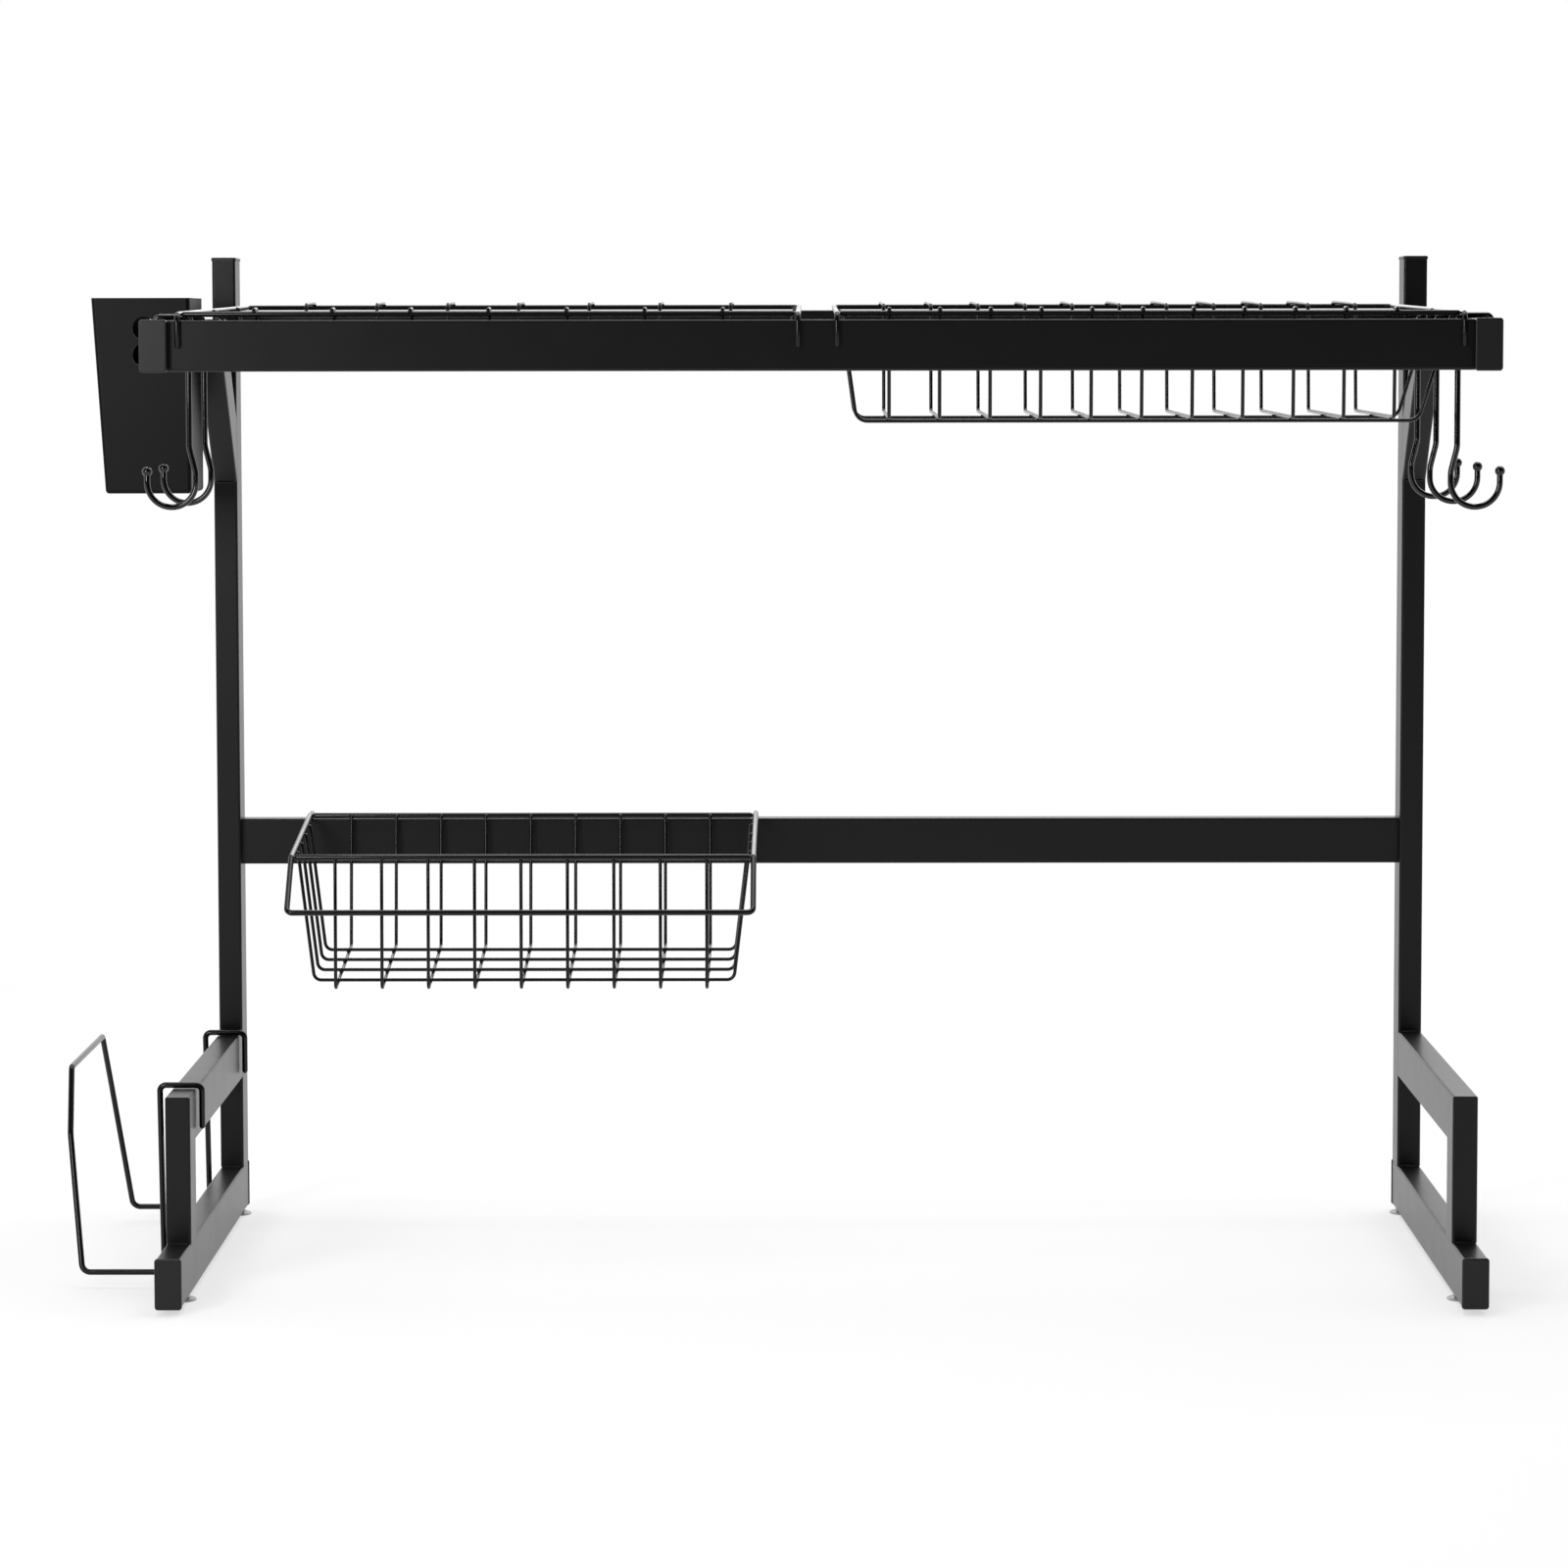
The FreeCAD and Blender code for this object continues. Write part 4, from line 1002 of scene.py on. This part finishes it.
@dataclass
class BowlBasket(WireShelf):
    """Shelf whose cross wires drop into a deep pocket for bowls."""

    wires: int = 11
    pitch: float = 24.3
    shift: float = -3.2
    depth: float = 50.2
    floor_slope: float = 0.003
    front_gap: float = 2.6
    front_lean: float = 2.5
    back_top: float = -107.0
    back_bottom: float = -113.0
    left_inset: float = 9.5
    right_inset: float = 18.5
    runs: tuple[float, ...] = (-287.0, -192.0)
    run_bend: float = 6.0

    @property
    def wall(self) -> float:
        """y of the front wall at its top."""
        return self.maker.datum.rail_back + self.front_gap

    def cross_places(self) -> tuple[float, int, float]:
        """Middle, number and pitch of the cross wires."""
        return (self.left + self.right) / 2 + self.shift, self.wires, self.pitch

    def long_wires(self) -> Sequence[float]:
        """y of each long wire."""
        return self.runs

    def floor(self, y: float) -> float:
        """Height of the cross wires on the pocket's floor."""
        return self.height(self.wall) - self.depth + (y - self.wall) * self.floor_slope

    def cross_route(self, x: float) -> Route:
        """Line of one cross wire: front wall, floor, rear wall and the rest behind it."""
        front = self.maker.datum.rail_middle - self.overhang
        rear = self.rear_y + self.overhang
        low = self.wall + self.front_lean
        path = [(front, self.on_frame(front)), (self.wall, self.on_frame(self.wall)), (low, self.floor(low)),
                (self.back_bottom, self.floor(self.back_bottom)),
                (self.back_top, self.on_frame(self.back_top)), (rear, self.on_frame(rear))]
        return bent_route(in_side_view(x, path), self.grid_bend)

    def long_route(self, y: float) -> Route:
        """Line of one long wire under the pocket, bent up into its end walls."""
        under = self.floor(y) - self.grid_wire + self.weld_bite
        inset = (self.frame_wire + self.grid_wire) / 2 - self.weld_bite
        end = self.height(y) + self.weld_rise
        path = [(self.left + inset, end), (self.left + self.left_inset, under),
                (self.right - self.right_inset, under), (self.right - inset, end)]
        return bent_route(in_front_view(y, path), self.run_bend)


# ---------------------------------------------------------------- hanging basket
@dataclass
class HangingBasket:
    """Basket that hooks over the crossbar, with a towel bar in front."""

    maker: Maker
    centre: float = -155.0
    half: float = 120.3
    reach: float = 105.0
    drop: float = 12.3
    loop_reach: float = 28.0
    loop_drop: float = 26.0
    tail: float = 19.0
    wires: int = 9
    pitch: float = 24.2
    shift: float = -0.9
    back_depth: float = 69.5
    front_depth: float = 68.8
    back_lean: float = 10.0
    corner_inset: float = 10.5
    runs: tuple[float, ...] = (-23.0, -46.2, -69.4, -92.6)
    rim_bend: float = 4.0
    bar_bend: float = 3.0
    run_bend: float = 4.0
    tail_bend: float = 3.0
    grid_bend: float = 3.0
    rim_wire: float = 3.0
    grid_wire: float = 1.8
    fit_gap: float = 0.3
    weld_bite: float = 0.03
    weld_rise: float = 0.6

    @property
    def rim_y(self) -> float:
        """y of the rear rim."""
        return self.maker.datum.bar_front - self.fit_gap - self.rim_wire / 2

    @property
    def rim_z(self) -> float:
        """Height of the rear rim."""
        return self.maker.datum.crossbar_top + self.fit_gap + self.rim_wire / 2

    @property
    def weld(self) -> float:
        """Distance between a rim's middle and that of a thin wire welded to it."""
        return (self.rim_wire + self.grid_wire) / 2 - self.weld_bite

    def rim(self, y: float) -> float:
        """Height of the side rims, which fall towards the front."""
        return self.rim_z - self.drop * (self.rim_y - y) / (self.rim_y + self.reach)

    def floor(self, y: float) -> float:
        """Height of the cross wires on the floor."""
        back = self.rim_y - self.back_lean
        back_z = self.rim_z - self.back_depth
        front_z = self.rim(-self.reach) - self.front_depth
        return back_z + (front_z - back_z) * (back - y) / (back + self.reach)

    def frame_route(self) -> Route:
        """Line of the frame wire: tail, side rim, towel bar, side rim and tail."""
        tail_y = self.maker.datum.bar_back + self.fit_gap + self.rim_wire / 2
        bar_z = self.rim(-self.reach) - self.loop_drop
        side = [(tail_y, self.rim_z - self.tail), (tail_y, self.rim_z), (self.rim_y, self.rim_z),
                (-self.reach, self.rim(-self.reach)), (-self.reach - self.loop_reach, bar_z)]
        corners = (in_side_view(self.centre - self.half, side)
                   + in_side_view(self.centre + self.half, side[::-1]))
        bends = [self.tail_bend, self.rim_bend, self.rim_bend, self.bar_bend]
        return bent_route(corners, bends + bends[::-1])

    def rim_route(self, y: float) -> Route:
        """Line of a straight rim between the side rims."""
        half = self.half - self.rim_wire / 2 + self.weld_bite
        return in_front_view(y, [(self.centre - half, self.rim(y)), (self.centre + half, self.rim(y))])

    def cross_route(self, x: float) -> Route:
        """Line of one cross wire: rear wall, floor and front wall."""
        back = self.rim_y - self.back_lean
        path = [(self.rim_y - self.weld, self.rim_z + self.weld_rise), (back, self.floor(back)),
                (-self.reach, self.floor(-self.reach)),
                (-self.reach + self.weld, self.rim(-self.reach) + self.weld_rise)]
        return bent_route(in_side_view(x, path), self.grid_bend)

    def long_route(self, y: float) -> Route:
        """Line of one long wire on the floor, bent up into the end walls."""
        floor = self.floor(y) + self.grid_wire - self.weld_bite
        top = self.rim(y) + self.weld_rise
        high, low = self.half - self.weld, self.half - self.corner_inset
        path = [(-high, top), (-low, floor), (low, floor), (high, top)]
        return bent_route(in_front_view(y, [(self.centre + x, z) for x, z in path]), self.run_bend)

    def weld_places(self) -> list[Vector]:
        """Every place where two of the basket's wires are welded.

        Returns:
            The middle of each weld.
        """
        places = []
        for x in spread(self.centre + self.shift, self.wires, self.pitch):
            places.append(Vector((x, self.rim_y - self.rim_wire / 2, self.rim_z)))
            places.append(Vector((x, -self.reach + self.rim_wire / 2, self.rim(-self.reach))))
            places += [Vector((x, y, self.floor(y) + self.grid_wire / 2)) for y in self.runs]
        for side in Side:
            x = self.centre + side.value * (self.half - self.rim_wire / 2)
            places += [Vector((x, y, self.rim(y))) for y in (self.rim_y, *self.runs, -self.reach)]
        return places

    def build(self) -> None:
        """Make the basket's wires and its welds."""
        first = spread(self.centre + self.shift, self.wires, self.pitch)[0]
        self.maker.wires("hanging_basket_frame_wire", [self.frame_route()], self.rim_wire)
        self.maker.wires("hanging_basket_rear_rim", [self.rim_route(self.rim_y)], self.rim_wire)
        self.maker.wires("hanging_basket_front_rim", [self.rim_route(-self.reach)], self.rim_wire)
        self.maker.wires("hanging_basket_cross_wires", [self.cross_route(first)], self.grid_wire,
                         count=self.wires, step=self.pitch)
        self.maker.wires("hanging_basket_long_wires", [self.long_route(y) for y in self.runs], self.grid_wire)
        self.maker.dots("hanging_basket_welds", "hanging_basket", self.weld_places(), (1.2, 1.1, 1.0))


# ---------------------------------------------------------------- loose pieces
@dataclass
class CutleryHolder:
    """Sheet-metal cup on two flat straps over the left arm."""

    maker: Maker
    nodes: tuple[str, ...] = ("cutlery_cup", "cutlery_cup_front_strap", "cutlery_cup_rear_strap")

    def build(self) -> None:
        """Make the cup and its straps."""
        for node in self.nodes:
            self.maker.coated(node, SHEET_COAT, Slot.SHEET)


@dataclass
class UtensilHooks:
    """Dip-coated wire hooks with ball tips that slide along the arms."""

    maker: Maker
    wire: float = 3.0
    length: float = 93.0
    lip: float = 3.5
    bowl_radius: float = 12.0
    jog: float = 3.0
    jog_start: float = 62.5
    jog_length: float = 12.0
    jog_bend: float = 14.0
    top_bends: tuple[float, float] = (2.4, 2.8)
    tip_rise: float = 5.5
    ball_radius: float = 2.5
    fit_gap: float = 0.3

    def route(self, side: Side, y: float) -> Route:
        """Line of one hook.

        Args:
            side: the arm that it hangs on.
            y: its place along the arm.

        Returns:
            The line, from the lip over the arm to the tip.
        """
        datum = self.maker.datum
        clear = self.fit_gap + self.wire / 2
        top = datum.arm_top + clear
        shank = datum.inner_x - clear
        inner = shank - self.jog
        outer = inner + 2 * self.bowl_radius
        low = datum.arm_top - self.length + self.wire / 2
        path = [(datum.outer_x + clear, datum.arm_top - self.lip), (datum.outer_x + clear, top),
                (shank, top), (shank, datum.arm_top - self.jog_start),
                (inner, datum.arm_top - self.jog_start - self.jog_length), (inner, low), (outer, low),
                (outer, low + self.bowl_radius + self.tip_rise)]
        bowl = self.bowl_radius - 0.05
        bends = [*self.top_bends, self.jog_bend, self.jog_bend, bowl, bowl]
        return bent_route(in_front_view(y, [(side.value * x, z) for x, z in path]), bends, 12)

    def build(self) -> None:
        """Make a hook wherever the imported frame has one."""
        for node in sorted(self.maker.body_of):
            if node.startswith("s_hook"):
                self.hook(node)

    def hook(self, node: str) -> None:
        """Make one hook with its ball tip.

        Args:
            node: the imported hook.
        """
        datum = self.maker.datum
        low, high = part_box(node)
        y = ((low.y + high.y) / 2 - datum.origin.y) / MM
        route = self.route(Side.LEFT if "left" in node else Side.RIGHT, y)
        wire = SweptWire().run(
            self.maker.line_mesh([route], self.wire / 2), node + "_dipped", radius=self.wire / 2 * MM,
            sides=20, count=1, step=(0.0, 0.0, 0.0), ripple=0.0, ripple_pitch=1.0,
            material=GLOSS_DIP.material())
        shape = bmesh.new()
        shape.from_mesh(wire.data)
        ball = bmesh.ops.create_uvsphere(shape, u_segments=24, v_segments=16, radius=self.ball_radius * MM)
        bmesh.ops.translate(shape, verts=ball["verts"], vec=datum.place(route[-1]))
        for face in shape.faces:
            face.smooth = True
        shape.to_mesh(wire.data)
        shape.free()
        self.maker.hand_over(wire, self.maker.body_of[node], Slot.HOOK, node)


@dataclass
class BoardHolder:
    """One bent wire that hooks over the left low bar and leans out in a loop."""

    maker: Maker
    wire: float = 3.0
    fit_gap: float = 0.3
    inner_gap: float = 1.0
    outer_gap: float = 4.6
    low_gap: float = 3.2
    front_gap: float = 7.5
    rear_gap: float = 13.0
    bottom: float = 8.0
    hook_drop: float = 22.0
    base_out: float = 46.0
    waist_out: float = 54.0
    top_out: float = 56.0
    waist: float = 75.0
    top: float = 106.0
    waist_in: float = 21.0
    top_in: float = 43.0
    bends: tuple[float, ...] = (3.0, 3.0, 4.5, 4.5, 12.0, 4.0)

    def half_route(self, y: float, inward: int) -> list[Vector]:
        """Corners of one half of the wire, from its hook to the top of the loop.

        Args:
            y: place of the hook along the bar.
            inward: 1 or -1, towards the middle of the loop.

        Returns:
            The corners.
        """
        datum = self.maker.datum
        half = self.wire / 2
        over = datum.window_top + self.fit_gap + half
        inside = -datum.inner_x + self.inner_gap + half
        outside = -datum.outer_x
        return [Vector((inside, y, over - self.hook_drop)), Vector((inside, y, over)),
                Vector((outside - self.outer_gap - half, y, over)),
                Vector((outside - self.low_gap - half, y, self.bottom)),
                Vector((outside - self.base_out, y, self.bottom)),
                Vector((outside - self.waist_out, y + inward * self.waist_in, self.waist)),
                Vector((outside - self.top_out, y + inward * self.top_in, self.top))]

    def build(self) -> None:
        """Make the holder."""
        datum = self.maker.datum
        front = self.half_route(datum.window_front + datum.tube_deep + self.front_gap, 1)
        rear = self.half_route(-self.rear_gap, -1)
        route = bent_route(front + rear[::-1], self.bends + self.bends[::-1], 10)
        self.maker.wires("board_holder_wire", [route], self.wire)


# ---------------------------------------------------------------- studio
@dataclass
class Studio:
    """Pale floor, soft lights and the camera."""

    datum: Datum
    camera_place: tuple[float, float, float] = (-5.6, -2937.1, 475.44)
    pitch: float = 0.0815
    yaw: float = -0.00466
    roll: float = -0.0015
    lens: float = 125.56
    sensor: float = 36.0
    floor_half: float = 6000.0
    horizon_fade: tuple[float, float] = (0.45, 1.6)
    floor_glow: float = 0.60
    front_light: float = 0.008

    def build(self) -> None:
        """Make everything around the rack."""
        self.build_camera()
        self.build_floor()
        self.build_world()
        bpy.context.scene.view_settings.view_transform = "Standard"
        self.softbox("top_softbox", (0, 0, 1900), (0, 0, 0), (1500, 900), 17)
        self.softbox("left_softbox", (-820, -1400, 700), (-325, -200, 380), (360, 560), 9.5)
        self.softbox("back_softbox", (300, 1700, 1200), (0, 0, 250), (1800, 900), 10)

    def build_camera(self) -> None:
        """Make the camera."""
        data = bpy.data.cameras.new("camera")
        data.lens = self.lens
        data.sensor_width = self.sensor
        data.clip_start = 0.05
        data.clip_end = 40.0
        camera = bpy.data.objects.new("camera", data)
        camera.location = self.datum.place(Vector(self.camera_place))
        camera.rotation_mode = "QUATERNION"
        camera.rotation_quaternion = (Quaternion((0, 0, 1), -self.yaw)
                                      @ Quaternion((1, 0, 0), math.pi / 2 - self.pitch)
                                      @ Quaternion((0, 0, 1), self.roll))
        bpy.context.scene.collection.objects.link(camera)
        bpy.context.scene.camera = camera

    def build_floor(self) -> None:
        """Make the floor, which fades into the white surroundings."""
        half = self.floor_half * MM
        mesh = bpy.data.meshes.new("floor")
        mesh.from_pydata([(-half, -half, 0), (half, -half, 0), (half, half, 0), (-half, half, 0)], [],
                         [(0, 1, 2, 3)])
        material = bpy.data.materials.new("pale_floor")
        material.use_nodes = True
        material.node_tree.nodes.clear()
        sketch = Sketch(material.node_tree)
        place = sketch.node("ShaderNodeTexCoord").outputs["Object"]
        distance = sketch.node("ShaderNodeVectorMath", {0: place}, operation="LENGTH").outputs["Value"]
        near, far = self.horizon_fade
        fade = sketch.node("ShaderNodeMapRange", {
            "Value": distance, "From Min": near, "From Max": far, "To Min": self.floor_glow})
        matt = sketch.node("ShaderNodeBsdfDiffuse", {"Color": (0.9, 0.9, 0.9, 1)})
        glow = sketch.node("ShaderNodeEmission", {"Color": (1, 1, 1, 1), "Strength": 1.0})
        mixed = sketch.node("ShaderNodeMixShader", {
            0: fade.outputs[0], 1: matt.outputs[0], 2: glow.outputs[0]})
        sketch.node("ShaderNodeOutputMaterial", {"Surface": mixed.outputs[0]})
        mesh.materials.append(material)
        floor = bpy.data.objects.new("floor", mesh)
        bpy.context.scene.collection.objects.link(floor)

    def build_world(self) -> None:
        """Surroundings that look white but light the rack less from the user's side."""
        world = bpy.data.worlds.new("studio")
        world.use_nodes = True
        world.node_tree.nodes.clear()
        sketch = Sketch(world.node_tree)
        way = sketch.node("ShaderNodeTexCoord").outputs["Generated"]
        parts = sketch.node("ShaderNodeSeparateXYZ", {0: way})
        light = sketch.node("ShaderNodeMapRange", {
            "Value": parts.outputs["Y"], "From Min": -0.35, "From Max": 0.12,
            "To Min": self.front_light, "To Max": 1.0})
        seen = sketch.node("ShaderNodeLightPath").outputs["Is Camera Ray"]
        strength = sketch.node("ShaderNodeMath", {0: light.outputs[0], 1: seen}, operation="MAXIMUM")
        glow = sketch.node("ShaderNodeBackground", {"Color": (1, 1, 1, 1), "Strength": strength.outputs[0]})
        sketch.node("ShaderNodeOutputWorld", {"Surface": glow.outputs[0]})
        bpy.context.scene.world = world

    def softbox(self, name: str, place: tuple[float, float, float], target: tuple[float, float, float],
                size: tuple[float, float], power: float) -> None:
        """Make one rectangular soft light.

        Args:
            name: name of the light.
            place: its middle.
            target: where it points.
            size: its width and height.
            power: its power in watts.
        """
        data = bpy.data.lights.new(name, "AREA")
        data.shape = "RECTANGLE"
        data.size = size[0] * MM
        data.size_y = size[1] * MM
        data.energy = power
        light = bpy.data.objects.new(name, data)
        light.location = self.datum.place(Vector(place))
        light.rotation_mode = "QUATERNION"
        light.rotation_quaternion = (Vector(target) - Vector(place)).to_track_quat("-Z", "Y")
        bpy.context.scene.collection.objects.link(light)


def main() -> None:
    """Build the rack and its studio, and report each piece."""
    logging.basicConfig(level=logging.INFO, format="%(name)s %(message)s")
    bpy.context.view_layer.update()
    datum = Datum.measured()
    maker = Maker(datum)
    side = datum.inner_x - SHELF_SIDE_GAP
    half_gap = SHELF_MIDDLE_GAP / 2
    assemblies = [
        TubeFrame(maker),
        SuctionFeet(maker),
        PlateRack(maker, "plate_rack", -side, SHELF_SPLIT - half_gap),
        BowlBasket(maker, "bowl_basket", SHELF_SPLIT + half_gap, side),
        HangingBasket(maker),
        CutleryHolder(maker),
        UtensilHooks(maker),
        BoardHolder(maker),
        Studio(datum),
    ]
    for assembly in assemblies:
        assembly.build()
        LOG.info("%s done", type(assembly).__name__)


if __name__ == "__main__":
    main()
